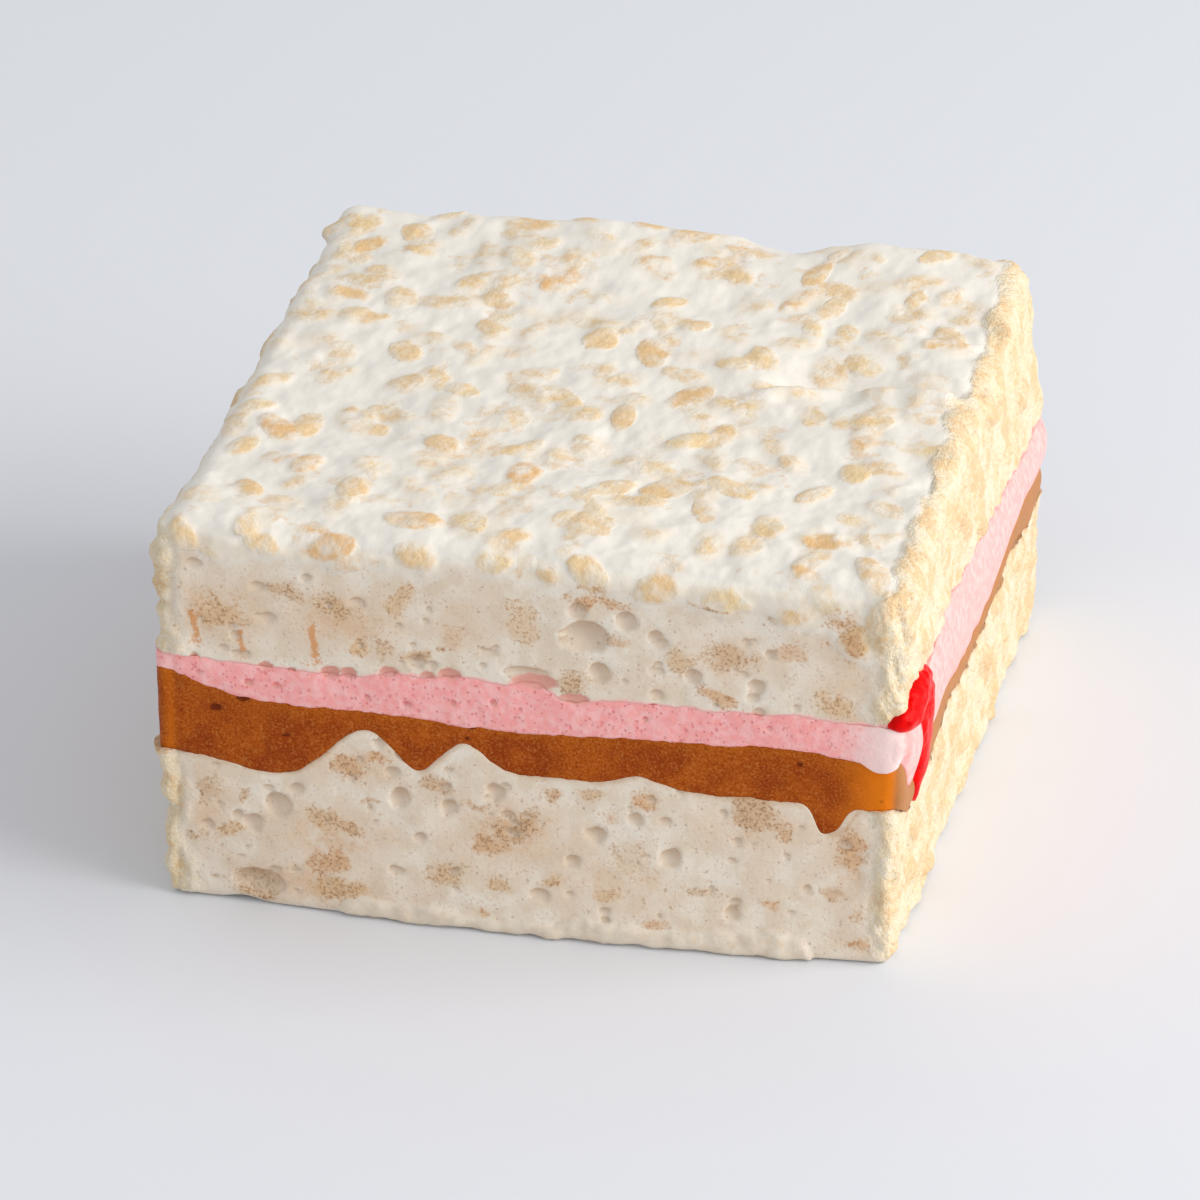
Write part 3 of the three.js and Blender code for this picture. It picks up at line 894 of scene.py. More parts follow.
# %% The parts of a slab's skin
LIP = {"x": [-40, -5, 8, 28, 32, 36, 40], "z": [42.2, 42.4, 41.6, 40.8, 38.4, 36.6, 36.0]}
LIP_SOFTNESS = 1.1
FOOT_SKIN = {
    "x": [-22, -20.5, -11, -7.5, 0, 2.5, 4, 8, 14, 25, 29, 31],
    "z": [-1, 2.2, 2.2, 1.5, 1.6, 1.8, 2.9, 2.2, 2.2, 3.0, 2.4, -1],
    "rise": 0.5,
    "softness": 0.3,
}
TORN_CORNERS = {"left": -37.6, "right": 36.4, "width": 1.6}  # where the clean cut gives way
TORN_EDGE = {"x": (36.4, 38.8), "share": 0.6}  # the top's right edge
# How uneven each detail is: height and size in millimetres, and the seed of its field.
UNEVEN = {
    "torn_edge": (1.6, 5.0, 23),
    "lip": (0.9, 4.0, 41),
    "foot": (0.6, 3.0, 45),
    "foot_rise": (0.5, 2.2, 47),
    "bare": (0.65, 2.4, 63),
    "thin": (0.9, 3.8, 75),
    "near": (0.3, 3.2, 69),
    "cut": (0.1, 4.0, 81),
    "poured": (1.0, 4.0, 83),
    "jam": (0.35, 2.2, 91),
}


def uneven(points, name):
    height, size, seed = UNEVEN[name]
    return height * rough(points, size, seed)


def facing(points, normals):
    """How much each point belongs to the top, to the front, to the underside and to the torn
    sides, as four numbers from 0 to 1. The torn texture reaches round the front's two corners
    and over the right side's upper edge."""
    edge = points[:, 0] + uneven(points, "torn_edge")
    worn = TORN_EDGE["share"] * smoothstep(edge, *TORN_EDGE["x"])
    top = smoothstep(normals[:, 2] - worn, 0.3, 0.75)
    front = smoothstep(-normals[:, 1], 0.55, 0.9) * (1 - top)
    x = points[:, 0] + 1.3 * cloudy(points, 2.6, 19)
    width = TORN_CORNERS["width"]
    front *= smoothstep(x, TORN_CORNERS["left"] - width, TORN_CORNERS["left"] + width)
    front *= 1 - smoothstep(x, TORN_CORNERS["right"] - width, TORN_CORNERS["right"] + width)
    under = smoothstep(-normals[:, 2], 0.5, 0.9)
    torn = np.clip(1 - top - front - under, 0, 1)
    return top, front, under, torn


def zones(points, normals):
    """The parts of a slab's skin by name, each a number from 0 to 1 at every point: the four of
    facing(); the lip over the front's upper edge and the smooth skin at its foot; the cut, which
    is the front without them; and the soft skin, which is the top with the lip."""
    top, front, under, torn = facing(points, normals)
    lip_edge = np.interp(points[:, 0], LIP["x"], LIP["z"]) + uneven(points, "lip")
    lip = smoothstep(points[:, 2], lip_edge - LIP_SOFTNESS, lip_edge + LIP_SOFTNESS)
    foot_edge = np.interp(points[:, 0], FOOT_SKIN["x"], FOOT_SKIN["z"]) + uneven(points, "foot")
    softness = FOOT_SKIN["softness"]
    foot = 1 - smoothstep(points[:, 2], foot_edge - softness, foot_edge + softness)
    zone = {"top": top, "front": front, "under": under, "torn": torn, "lip": lip, "foot": foot}
    zone["cut"] = front * (1 - lip) * (1 - foot)
    zone["soft"] = np.maximum(top, front * lip)
    return zone


middle_of_front = np.array([[0.0, -DEPTH / 2, HEIGHT / 2]])
for name, share in zones(middle_of_front, np.array([[0.0, -1.0, 0.0]])).items():
    print("the middle of the front:", name, round(float(share[0]), 2))

# %% Folds, fibres and waves
LIP_RISE = {"x": [-40, 4, 14, 40], "rise": [0.05, 0.1, 0.4, 0.45]}
FOLD = {"x": [13, 25, 37], "y": [0.4, 4.9, 3.6], "rise": 0.95, "drop": 0.8}
# Waves of the thin skin on top: height, size and seed.
FILM = [(0.26, 7.5, 51), (0.18, 3.2, 53), (0.05, 1.1, 55)]
# The torn fibres lie level on the left side and run up and down on the other two.
LEVEL_FIBRES = np.array([0.45, 0.45, 1.0])
UPRIGHT_FIBRES = np.array([1.0, 1.0, 0.6])
CALM_RIGHT = 0.3  # the right side's crags are lower by this share
# The left side near the front corner: how far it stands out at each height.
LEFT_EDGE = {
    "z": [0, 2, 8, 9.6, 10.6, 12.2, 17, 19, 29, 31, 36, 41, 45],
    "out": [0.2, 0.5, 0.4, -0.2, -0.6, 0.9, 1.3, 0.9, 0.9, 0.7, 0.4, 0.9, 0.4],
    "reach": 16,
}


def fold(points):
    """The folded strand across the top right: a ridge in front of a valley, along a curve."""
    x, y = points[:, 0], points[:, 1]
    line = np.interp(x, FOLD["x"], FOLD["y"]) + 0.5 * cloudy(points, 4.0, 33)
    there = smoothstep(x, FOLD["x"][0], FOLD["x"][0] + 6)
    ridge = FOLD["rise"] * bell(y - line + 1.0, 1.3)
    valley = FOLD["drop"] * bell(y - line - 1.2, 1.5)
    return there * (ridge - valley)


def torn_relief(points, normals):
    """Crags and fibres of the torn sides, and the field that says where rice is bare there. The
    fibres are the same field, drawn out level on the left side and upright elsewhere. The right
    side is the least craggy."""
    left = smoothstep(-normals[:, 0], 0.3, 0.7)

    def fields(fibres):
        drawn = points * fibres
        crags = 0.75 * (np.abs(rough(drawn, 3.4, 21)) - 0.35) + 0.4 * rough(drawn, 1.3, 25)
        return crags, rough(drawn, 2.4, 65)

    crags, bare = (lerp(a, b, left) for a, b in zip(fields(UPRIGHT_FIBRES), fields(LEVEL_FIBRES)))
    crags *= 1 - CALM_RIGHT * smoothstep(normals[:, 0], 0.3, 0.7)
    near = bell(points[:, 1] + DEPTH / 2, LEFT_EDGE["reach"])
    edge = np.interp(points[:, 2], LEFT_EDGE["z"], LEFT_EDGE["out"])
    return crags + left * near * edge, bare


def cut_waves(points):
    """The slight waves that the knife left, which run through all the layers."""
    return uneven(points, "cut")


heights = np.interp([0, 15, 30, 45], LEFT_EDGE["z"], LEFT_EDGE["out"]).round(1)
print("how far the left edge stands out at 0, 15, 30 and 45 mm:", heights)

# %% How far a slab's skin moves
LIFTED = {"soft": 0.22, "torn": 0.6}  # how much of the puffs' lift each kind of skin follows
RAISED_FOOT = {"x": -32, "width": 2, "depth": 6, "height": 0.5, "fade": 4}  # off the floor here


def slab_move(points, normals, zone, lifted, crags, bubble_depth):
    """How far each point moves along its normal. Puffs lift the soft and the torn skin, a thin
    film waves over the top, crags stand out from the torn sides, the lip and the foot's skin
    stand out from the cut, and bubbles are hollowed out of it. The underside hardly moves."""
    top, front, cut = zone["top"], zone["front"], zone["cut"]
    film = sum(height * rough(points, size, seed) for height, size, seed in FILM)
    craggy = zone["torn"] * (1 - 0.8 * smoothstep(normals[:, 2], 0.35, 0.9))
    move = lifted * (LIFTED["soft"] * (1 - craggy) * (1 - cut) + LIFTED["torn"] * craggy)
    move += zone["soft"] * film + top * fold(points) + craggy * crags
    move += front * zone["lip"] * np.interp(points[:, 0], LIP_RISE["x"], LIP_RISE["rise"])
    move += front * zone["foot"] * FOOT_SKIN["rise"] * (0.8 + uneven(points, "foot_rise"))
    move += front * cut_waves(points) - cut * bubble_depth
    return move * (1 - 0.9 * zone["under"])


def raised(points):
    """How far the foot of the front stands off the floor: a bell along each axis."""
    across = bell(points[:, 0] - RAISED_FOOT["x"], RAISED_FOOT["width"])
    inwards = bell(points[:, 1] + DEPTH / 2, RAISED_FOOT["depth"])
    return RAISED_FOOT["height"] * (across * inwards * bell(points[:, 2], RAISED_FOOT["fade"]))


place = np.array([[RAISED_FOOT["x"], -DEPTH / 2, 0.0]])
print("the foot stands off the floor by, mm:", raised(place).round(2))

# %% What a slab's skin is made of
COVER = {"seed": 7, "range": (-0.1, 0.75)}  # how much marshmallow lies over each puff


def bare_rice(points, over, which):
    """How bare the rice is at each point, above 0 where it shows, and the kind of puff there, a
    random number from 0 to 1. A puff shows where it stands higher than its own random cover.
    Here and there the skin has worn thin without a puff."""
    random = np.random.default_rng(COVER["seed"])
    cover = random.uniform(*COVER["range"], len(PUFFS))[which]
    kind = random.uniform(0, 1, len(PUFFS))[which]
    bare = over - cover + uneven(points, "bare")
    return np.maximum(bare, uneven(points, "thin") - 0.5), kind


def slab_attributes(points, zone, over, which, torn_bare, pit, pit_height):
    """What each point shows, as numbers that the slab's material reads."""
    cut, front, soft, torn = (zone[name] for name in ("cut", "front", "soft", "torn"))
    over = np.clip(over, -1, 1)
    bare, kind = bare_rice(points, over, which)
    near = smoothstep(over + uneven(points, "near"), -0.7, 0.5)
    spot, strength, tone = sliced_puffs(points, SPOTS)
    return {
        "bare": np.where(soft > 0.3, bare, -1) * np.clip(2 * soft, 0, 1),
        "near": soft * np.maximum(near, 1.4 * front),
        "kind": kind,
        "fibre": torn * smoothstep(torn_bare + 0.35 * over, -0.9, 0.7),
        "cut": cut,
        "spot": np.maximum(cut, 0.9 * front * zone["lip"]) * (spot + 1) - 1,
        "strength": strength,
        "tone": tone,
        "haze": cut * hazes(points, HAZES),
        "streak": cut * streaks(points),
        "pit": cut * (pit + 1) - 1,
        "pit_height": pit_height,
        "torn": torn,
        "skin": front * zone["foot"],
    }


def slab_relief(points, normals):
    """Moves a slab's skin and says what each point of it is made of. Returns the moved points and
    the attributes that the slab's material reads."""
    zone = zones(points, normals)
    lifted, over, which = lift_by_puffs(points, normals, PUFFS)
    crags, torn_bare = torn_relief(points, normals)
    bubble_depth, pit, pit_height = hollows(points, all_bubbles())
    move = slab_move(points, normals, zone, lifted, crags, bubble_depth)
    moved = points + normals * move[:, None]
    moved[:, 2] = np.maximum(moved[:, 2], 0) + raised(points)
    attributes = slab_attributes(points, zone, over, which, torn_bare, pit, pit_height)
    return moved, attributes


# %% [markdown]
# ## Building materials
# Each finish is a tree of nodes that reads places on the object in millimetres. A few helpers
# keep the trees short: one adds a node and joins its inputs, and the others name the nodes that
# are used most.

# %% Helpers for material nodes
class Finish:
    """A new material with a Principled shader, and methods that add nodes and return outputs."""

    def __init__(self, name):
        self.material = bpy.data.materials.new(name)
        self.material.use_nodes = True
        self.tree = self.material.node_tree
        self.shader = self.tree.nodes["Principled BSDF"]
        place = self.tree.nodes.new("ShaderNodeTexCoord").outputs["Object"]
        self.place = self.vector("SCALE", place, scale=1 / MM)

    def join(self, socket, value):
        """Puts a number, a colour or another node's output into a socket."""
        if isinstance(value, bpy.types.NodeSocket):
            self.tree.links.new(value, socket)
        elif isinstance(value, tuple) and len(value) == 3 and socket.type == "RGBA":
            socket.default_value = (*value, 1)
        else:
            socket.default_value = value

    def add(self, kind, inputs, **settings):
        node = self.tree.nodes.new("ShaderNode" + kind)
        for key, value in settings.items():
            setattr(node, key, value)
        for key, value in inputs.items():
            self.join(node.inputs[key], value)
        return node

    def vector(self, operation, a, b=(0, 0, 0), scale=1.0):
        inputs = {0: a, "Scale": scale} if operation == "SCALE" else {0: a, 1: b}
        return self.add("VectorMath", inputs, operation=operation).outputs[0]

    def math(self, operation, a, b=0.0, c=0.0):
        """One step of arithmetic; MULTIPLY_ADD gives a times b plus c."""
        return self.add("Math", {0: a, 1: b, 2: c}, operation=operation).outputs[0]

    def times(self, a, b):
        return self.math("MULTIPLY", a, b)

    def most(self, a, b):
        return self.math("MAXIMUM", a, b)

    def attribute(self, name):
        return self.add("Attribute", {}, attribute_name=name).outputs["Fac"]

    def noise(self, size, detail=3.0, place=None, rough=0.55):
        inputs = {"Vector": place or self.place, "Scale": 1 / size}
        inputs |= {"Detail": detail, "Roughness": rough}
        return self.add("TexNoise", inputs).outputs["Fac"]

    def step(self, value, low, high, out_low=0.0, out_high=1.0):
        """value from low to high turned into out_low to out_high along a soft step."""
        inputs = {"Value": value, "From Min": low, "From Max": high}
        inputs |= {"To Min": out_low, "To Max": out_high}
        return self.add("MapRange", inputs, interpolation_type="SMOOTHSTEP").outputs["Result"]

    def ramp(self, value, stops):
        """A colour ramp through stops of (position, colour)."""
        node = self.add("ValToRGB", {0: value})
        elements = node.color_ramp.elements
        while len(elements) < len(stops):
            elements.new(1.0)
        for element, (position, colour) in zip(elements, stops):
            element.position = position
            element.color = (*colour, 1)
        return node.outputs["Color"]

    def mix(self, share, a, b):
        """Colour a where share is 0 and b where it is 1."""
        node = self.tree.nodes.new("ShaderNodeMix")
        node.data_type = "RGBA"
        for name, value in (("Factor_Float", share), ("A_Color", a), ("B_Color", b)):
            self.join(next(s for s in node.inputs if s.identifier == name), value)
        return next(s for s in node.outputs if s.identifier == "Result_Color")

    def pores(self, size, largest, place=None):
        """Round pores: 1 inside. Each cell of a Voronoi field that is size across has a pore whose
        radius is its own random share of largest, squared, so that small pores are common."""
        cells = self.add("TexVoronoi", {"Vector": place or self.place, "Scale": 1 / size})
        share = self.add("SeparateColor", {0: cells.outputs["Color"]}).outputs[0]
        radius = self.times(self.times(share, share), largest / size)
        over = self.math("SUBTRACT", radius, cells.outputs["Distance"])
        return self.step(over, -0.03, 0.2)

    def bump(self, height):
        """A bump from a height in millimetres."""
        return self.add("Bump", {"Height": height, "Distance": MM, "Strength": 1.0}).outputs[0]

    def set(self, **values):
        """Puts values into the shader's sockets, with _ for a space in a socket's name."""
        for key, value in values.items():
            self.join(self.shader.inputs[key.replace("_", " ")], value)
        return self.material


# %% [markdown]
# ## Marshmallow and rice
# The slabs show four things: white marshmallow skin, tan puffs where the skin has worn thin, the
# porous greyish cut with sliced puffs in it, and the yellow torn sides. Each point's attributes
# say how much of each it has, and noise in the shader breaks up every edge between them.

# %% Colours of marshmallow and rice
WHITE_SKIN = (0.88, 0.835, 0.755)
THIN_SKIN = (0.865, 0.755, 0.595)  # skin with rice close beneath it
# Puffs differ: (position in a ramp, colour), from straw and beige to toasted.
PUFF_COLOURS = [
    (0.0, (0.86, 0.67, 0.39)),
    (0.35, (0.85, 0.62, 0.34)),
    (0.6, (0.81, 0.62, 0.39)),
    (0.86, (0.83, 0.56, 0.28)),
    (0.96, (0.82, 0.50, 0.23)),
]
PUFF_SHADE = (0.77, 0.51, 0.25)
TOASTED = (0.70, 0.40, 0.20)
STREAK = (0.72, 0.33, 0.12)
TORN_CREAM = (0.84, 0.685, 0.455)
TORN_TAN = (0.80, 0.56, 0.31)
TORN_WHITE = (0.84, 0.745, 0.575)
CUT_FOAM = (0.875, 0.795, 0.675)
CUT_SHADE = (0.80, 0.67, 0.52)
SPECK = (0.60, 0.34, 0.18)
HAZE = (0.76, 0.51, 0.31)
# The smooth skin at the foot of the cut: browner than the foam, and darker as painted shade near
# the floor.
FOOT_SKIN_AND_SHADE = (0.76, 0.63, 0.47)
# Sliced puffs, by tone: straw, brown and orange, each light and deep.
SPOT_LIGHT = [(0.1, (0.77, 0.52, 0.29)), (0.5, (0.68, 0.45, 0.26)), (0.9, (0.76, 0.46, 0.24))]
SPOT_DEEP = [(0.1, (0.54, 0.27, 0.11)), (0.5, (0.40, 0.19, 0.08)), (0.9, (0.56, 0.23, 0.08))]
# Bubble hollows are painted darker than the foam, partly browner with rice and partly painted
# shade: PIT_LIGHT low in a bubble, PIT_SHADE the painted shade under its upper rim.
PIT_LIGHT = (0.80, 0.65, 0.50)
PIT_SHADE = (0.52, 0.34, 0.20)
# Pores: brown, and darker as painted shade in the pores.
PORE_BROWN_AND_SHADE = (0.56, 0.38, 0.24)
PINK_STAIN = (1.0, 0.52, 0.48)
# Bubbles on the pink joint: pink, darkened as painted shade in the hollow.
JOINT_PIT_PINK_SHADE = (0.80, 0.35, 0.28)
CARAMEL_STAIN = (0.50, 0.22, 0.05)


print("kinds of puff:", len(PUFF_COLOURS), "tones of sliced puffs:", len(SPOT_LIGHT))


# %% Skin, puffs and torn crumb
def slab_noises(f):
    """The noises that the slab's colours and its relief share."""
    return {
        "fine": f.noise(0.6, 3),
        "patch": f.noise(2.6, 2),
        "mottle": f.noise(1.3, 3, rough=0.6),
        "speckle": f.noise(0.36, 3, rough=0.7),
    }


def broken(f, noise, value, mottled, speckled):
    """A value with two noises added, so that its edge is ragged at two sizes."""
    large = f.math("MULTIPLY_ADD", noise["mottle"], mottled, -mottled / 2)
    small = f.math("MULTIPLY_ADD", noise["speckle"], speckled, -speckled / 2)
    return f.math("ADD", value, f.math("ADD", large, small))


def skin_and_puffs(f, noise):
    """A puff shows where the skin over it is thin, with a toasted edge here and there, and tints
    the skin round it."""
    patch = noise["patch"]
    tan = f.ramp(f.attribute("kind"), PUFF_COLOURS)
    tan = f.mix(f.step(noise["fine"], 0.45, 0.7, 0, 0.7), tan, PUFF_SHADE)
    value = broken(f, noise, f.attribute("bare"), 1.5, 0.8)
    share = f.times(f.step(value, -0.25, 0.9), f.step(patch, 0.3, 0.62, 0.35, 1.0))
    tint = f.times(f.attribute("near"), f.step(patch, 0.3, 0.7, 0.3, 0.75))
    colour = f.mix(tint, WHITE_SKIN, THIN_SKIN)
    colour = f.mix(share, colour, tan)
    edge = f.times(f.step(value, -0.1, 0.0), f.step(value, 0.02, 0.2, 1, 0))
    edge = f.times(edge, f.step(patch, 0.52, 0.68, 0, 0.4))
    return f.mix(edge, colour, TOASTED)


def torn_crumb(f, noise):
    """Cream, with tan fibres and white strands."""
    grains = f.math("MULTIPLY_ADD", noise["speckle"], 1.1, -1.1)
    grains = f.math("MULTIPLY_ADD", noise["fine"], 1.5, grains)
    fibre = f.math("MULTIPLY_ADD", f.attribute("fibre"), 0.6, grains)
    crumb = f.mix(f.step(fibre, 0.42, 0.8), TORN_CREAM, TORN_TAN)
    return f.mix(f.step(fibre, 0.12, 0.36, 0.85, 0), crumb, TORN_WHITE)


# %% The cut: foam, sliced rice, stains and hollows
def cut_foam(f, noise):
    """Foam in light and shade, tan where rice is smeared through it, with the most specks
    there."""
    mottle = noise["mottle"]
    foam = f.mix(f.step(noise["patch"], 0.35, 0.65), CUT_SHADE, CUT_FOAM)
    haze = f.times(f.attribute("haze"), f.step(mottle, 0.34, 0.58, 0.35, 1.0))
    foam = f.mix(f.times(haze, 0.85), foam, HAZE)
    specks = f.step(noise["speckle"], 0.5, 0.7)
    dense = f.most(f.step(mottle, 0.42, 0.64, 0.1, 0.5), f.times(haze, 0.75))
    return f.mix(f.times(specks, dense), foam, SPECK)


def sliced_rice(f, noise, colour):
    """Sliced puffs over the foam, in a light tone with deep dots. Returns the dots too."""
    value = broken(f, noise, f.attribute("spot"), 1.3, 0.9)
    share = f.times(f.step(value, -0.2, 0.55), f.step(f.attribute("strength"), 0.0, 0.8))
    light = f.ramp(f.attribute("tone"), SPOT_LIGHT)
    deep = f.ramp(f.attribute("tone"), SPOT_DEEP)
    colour = f.mix(f.times(share, 0.85), colour, light)
    dots = f.times(f.step(noise["speckle"], 0.48, 0.7), share)
    return f.mix(f.times(dots, 0.85), colour, deep), dots


def stains(f, noise, colour):
    """Toasted streaks, and the caramel and the pink that have run into the foam."""
    ragged = f.math("MULTIPLY_ADD", noise["speckle"], 1.6, f.attribute("streak"))
    colour = f.mix(f.step(ragged, 1.15, 1.6, 0, 0.9), colour, STREAK)
    colour = f.mix(f.attribute("caramel_stain"), colour, CARAMEL_STAIN)
    wandering = f.math("MULTIPLY_ADD", noise["mottle"], 1.2, f.attribute("pink_stain"))
    return f.mix(f.step(wandering, 0.75, 1.5), colour, PINK_STAIN)


def pits_and_pores(f, noise, colour):
    """Bubbles with painted shade, darker all over and darkest under their upper rims; those on the
    pink joint, pink with painted shade;
    and pores all over the cut, browner and darkened as painted shade. Returns the pores too."""
    # Painted shade: bubbles are darkened, most of all towards their upper rims.
    bowl = f.mix(f.step(f.attribute("pit_height"), -0.6, 0.9), PIT_LIGHT, PIT_SHADE)
    colour = f.mix(f.step(f.attribute("pit"), -0.05, 0.25, 0, 0.65), colour, bowl)
    # Bubbles on the pink joint: pink with painted shade.
    colour = f.mix(f.times(f.attribute("joint_pit"), 0.85), colour, JOINT_PIT_PINK_SHADE)
    # Pores over the cut, browner and darkened as painted shade.
    pores = f.times(f.most(f.pores(0.55, 0.24), f.pores(1.7, 0.42)), f.attribute("cut"))
    pores = f.times(pores, f.step(noise["mottle"], 0.4, 0.6, 0.3, 1.0))
    return f.mix(f.times(pores, 0.6), colour, PORE_BROWN_AND_SHADE), pores


# %% Slab material
def slab_height(f, noise, dots, pores):
    """One relief in millimetres: wrinkled puffs, the crumb of sliced and torn rice, and pores."""
    torn = f.attribute("torn")
    wrinkled = f.times(noise["fine"], f.step(f.attribute("bare"), -0.2, 0.5, 0.04, 0.16))
    rice = f.math("ADD", f.times(dots, 0.5), torn)
    crumbs = f.times(noise["speckle"], f.math("MULTIPLY_ADD", rice, 0.2, 0.02))
    crumbs = f.math("ADD", crumbs, f.times(f.times(noise["fine"], torn), 0.3))
    return f.math("SUBTRACT", f.math("ADD", wrinkled, crumbs), f.times(pores, 0.04))


def slab_material():
    f = Finish("rice_and_marshmallow")
    noise = slab_noises(f)
    colour = skin_and_puffs(f, noise)
    colour = f.mix(f.attribute("torn"), colour, torn_crumb(f, noise))
    colour = f.mix(f.attribute("cut"), colour, cut_foam(f, noise))
    colour, dots = sliced_rice(f, noise, colour)
    colour = stains(f, noise, colour)
    colour, pores = pits_and_pores(f, noise, colour)
    # The foot's skin, with painted shade near the floor.
    foot = f.times(f.attribute("skin"), f.step(noise["mottle"], 0.35, 0.6, 0.9, 0.4))
    colour = f.mix(foot, colour, FOOT_SKIN_AND_SHADE)
    height = slab_height(f, noise, dots, pores)
    f.shader.inputs["Specular IOR Level"].default_value = 0.3
    return f.set(Base_Color=colour, Normal=f.bump(height), Roughness=0.5)


SLAB_FINISH = slab_material()
print("slab material:", len(SLAB_FINISH.node_tree.nodes), "nodes")

# %% Upper slab
SLAB_ROWS = 56


def level_of(name):
    return lambda x, y: joint_level(name, x, y)


def flat_level(height):
    return lambda x, y: np.full_like(x, height)


# The layers above and below have run a little way into the foam: how far, in millimetres.
STAIN = {"reach": 0.3, "wander": 0.35}


def stain(points, joint):
    """How much a slab is stained at each point by the layer on the other side of a joint."""
    away = np.abs(points[:, 2] - joint_level(joint, points[:, 0], points[:, 1]))
    reach = STAIN["reach"] * (1 + STAIN["wander"] * rough(points, 1.6, 73))
    return 1 - smoothstep(away, 0, 2 * reach)


def make_slab(name, low, high, top, bottom):
    """One rice slab: a skin on the block between two levels, moved by its relief, then closed."""
    points, squares, _, rims = layer_skin(SLAB_ROWS, low, high, top, bottom)
    moved, attributes = slab_relief(points, normals_of(points, squares))
    attributes["pink_stain"] = stain(points, "pink_to_upper")
    attributes["joint_pit"] = smoothstep(hollows(points, JOINT_BUBBLES)[1], -0.05, 0.15)
    attributes["caramel_stain"] = 0.4 * stain(points, "lower_to_caramel")
    moved, squares, triangles, hidden = close_rims(moved, squares, rims)
    return make_piece(name, moved, squares, triangles, attributes, SLAB_FINISH, hidden)


upper = make_slab("upper_rice_slab", level_of("pink_to_upper"), flat_level(HEIGHT), True, False)
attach(upper, "root")
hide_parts("upper_slab")

# %% Lower slab
lower = make_slab("lower_rice_slab", flat_level(0.0), level_of("lower_to_caramel"), False, True)
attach(lower, "root")
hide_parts("lower_slab")

# %% [markdown]
# ## Pink marshmallow and caramel
# These two layers were poured, so they are smooth: the pink one is foam with fine pores and a
# few larger hollows along its upper edge, and the caramel is dense, with a fine grain. Both
# swell a little between their joints.

# %% Poured layers
LEFT_SWELL = {"out": 1.0, "reach": 24}  # both bulge on the left, most of all near the front
CORNER = (31, 39.5)  # between these places the front's right end draws back
# Where light is painted onto the front's two ends, as if it came through them, and how much of it
# on the left.
LIT_ENDS = {"right": (31.5, 38.0), "left": (-40, -38), "left_share": 0.6}
PINK_HOLLOWS = [
    (-36.0, 28.0, 0.35, 0.4),
    (-30.4, 27.2, 0.5, 0.5),
    (-27.6, 27.0, 0.4, 0.5),
    (-17.6, 26.6, 0.4, 0.4),
    (-13.4, 26.4, 0.5, 0.6),
    (-8.3, 27.0, 0.4, 0.4),
    (-4.0, 27.6, 0.45, 0.5),
    (12.2, 27.4, 0.4, 0.4),
    (25.2, 27.6, 0.35, 0.4),
]
CARAMEL_HOLLOWS = [
    (-34.3, 23.6, 0.55, 0.7),
    (-31.2, 25.2, 0.5, 0.8),
    (-26.6, 21.2, 0.3, 0.6),
    (-6.4, 24.6, 0.55, 0.7),
    (-6.9, 22.9, 0.3, 0.3),
    (28.5, 23.6, 0.35, 0.4),
]


# Each layer has rows of squares between two joints, swells in front and on the right, and waves
# at its torn sides. Its front draws back by "corner" at the right end, or stands out below 0.
BANDS = {
    "pink": {
        "rows": 20,
        "joints": ("caramel_to_pink", "pink_to_upper"),
        "swell": {"front": 0.12, "right": 0.8},
        "waviness": 0.1,
        "corner": -0.4,
        "hollows": PINK_HOLLOWS + JOINT_BUBBLES,
    },
    "caramel": {
        "rows": 24,
        "joints": ("lower_to_caramel", "caramel_to_pink"),
        "swell": {"front": 0.04, "right": 0.2},
        "waviness": 0.06,
        "corner": 0.2,
        "hollows": CARAMEL_HOLLOWS,
    },
}


def level_normals(points, squares):
    """Normals without their upward part, which is what a thin layer swells along."""
    normals = normals_of(points, squares)
    normals[:, 2] = 0
    return normals / np.maximum(np.linalg.norm(normals, axis=1), 1e-9)[:, None]


def make_band(name, band, finish):
    """One poured layer: its skin swells by half a sine wave between the joints, has cloudy waves
    and hollows, and its front draws back or stands out at the right corner."""
    low, high = (level_of(joint) for joint in band["joints"])
    points, squares, share, rims = layer_skin(band["rows"], low, high, False, False)
    normals = level_normals(points, squares)
    x, swell, arch = points[:, 0], band["swell"], np.sin(np.pi * share)
    front = smoothstep(-normals[:, 1], 0.55, 0.9)
    right = smoothstep(normals[:, 0], 0.3, 0.9)
    left = smoothstep(-normals[:, 0], 0.3, 0.9)
    depth, pit, pit_height = hollows(points, np.array(band["hollows"]))
    waves = (1 - front) * band["waviness"] * uneven(points, "poured")
    move = swell["front"] * front * arch + swell["right"] * right * arch
    move += waves + front * (cut_waves(points) - depth)
    move += LEFT_SWELL["out"] * left * bell(points[:, 1] + DEPTH / 2, LEFT_SWELL["reach"])
    move -= band["corner"] * front * smoothstep(x, *CORNER) ** 2
    left_end = LIT_ENDS["left_share"] * (1 - smoothstep(x, *LIT_ENDS["left"]))
    attributes = {
        "pit": front * (pit + 1) - 1,
        "pit_height": pit_height,
        # end: the two ends of the front, where the materials paint light.
        "end": front * (smoothstep(x, *LIT_ENDS["right"]) + left_end),
        "side": right,
        "share": share,
    }
    moved = points + normals * move[:, None]
    moved, squares, triangles, hidden = close_rims(moved, squares, rims)
    return make_piece(name, moved, squares, triangles, attributes, finish, hidden)


print("hollows:", {name: len(band["hollows"]) for name, band in BANDS.items()})

# %% Pink material
PINK = (1.0, 0.405, 0.38)
PINK_LIGHT = (1.0, 0.53, 0.51)
# Painted light: the pink's front is pale at its two ends, as if lit through.
PINK_LIT_END = (1.0, 0.80, 0.76)
# Painted shade in the pink's pores and hollows: a darker red in the pores and under a hollow's
# upper rim, a duller pink low in a hollow.
PINK_PORE_SHADE = (0.82, 0.18, 0.18)
PINK_BOWL_SHADE = (0.84, 0.42, 0.36)


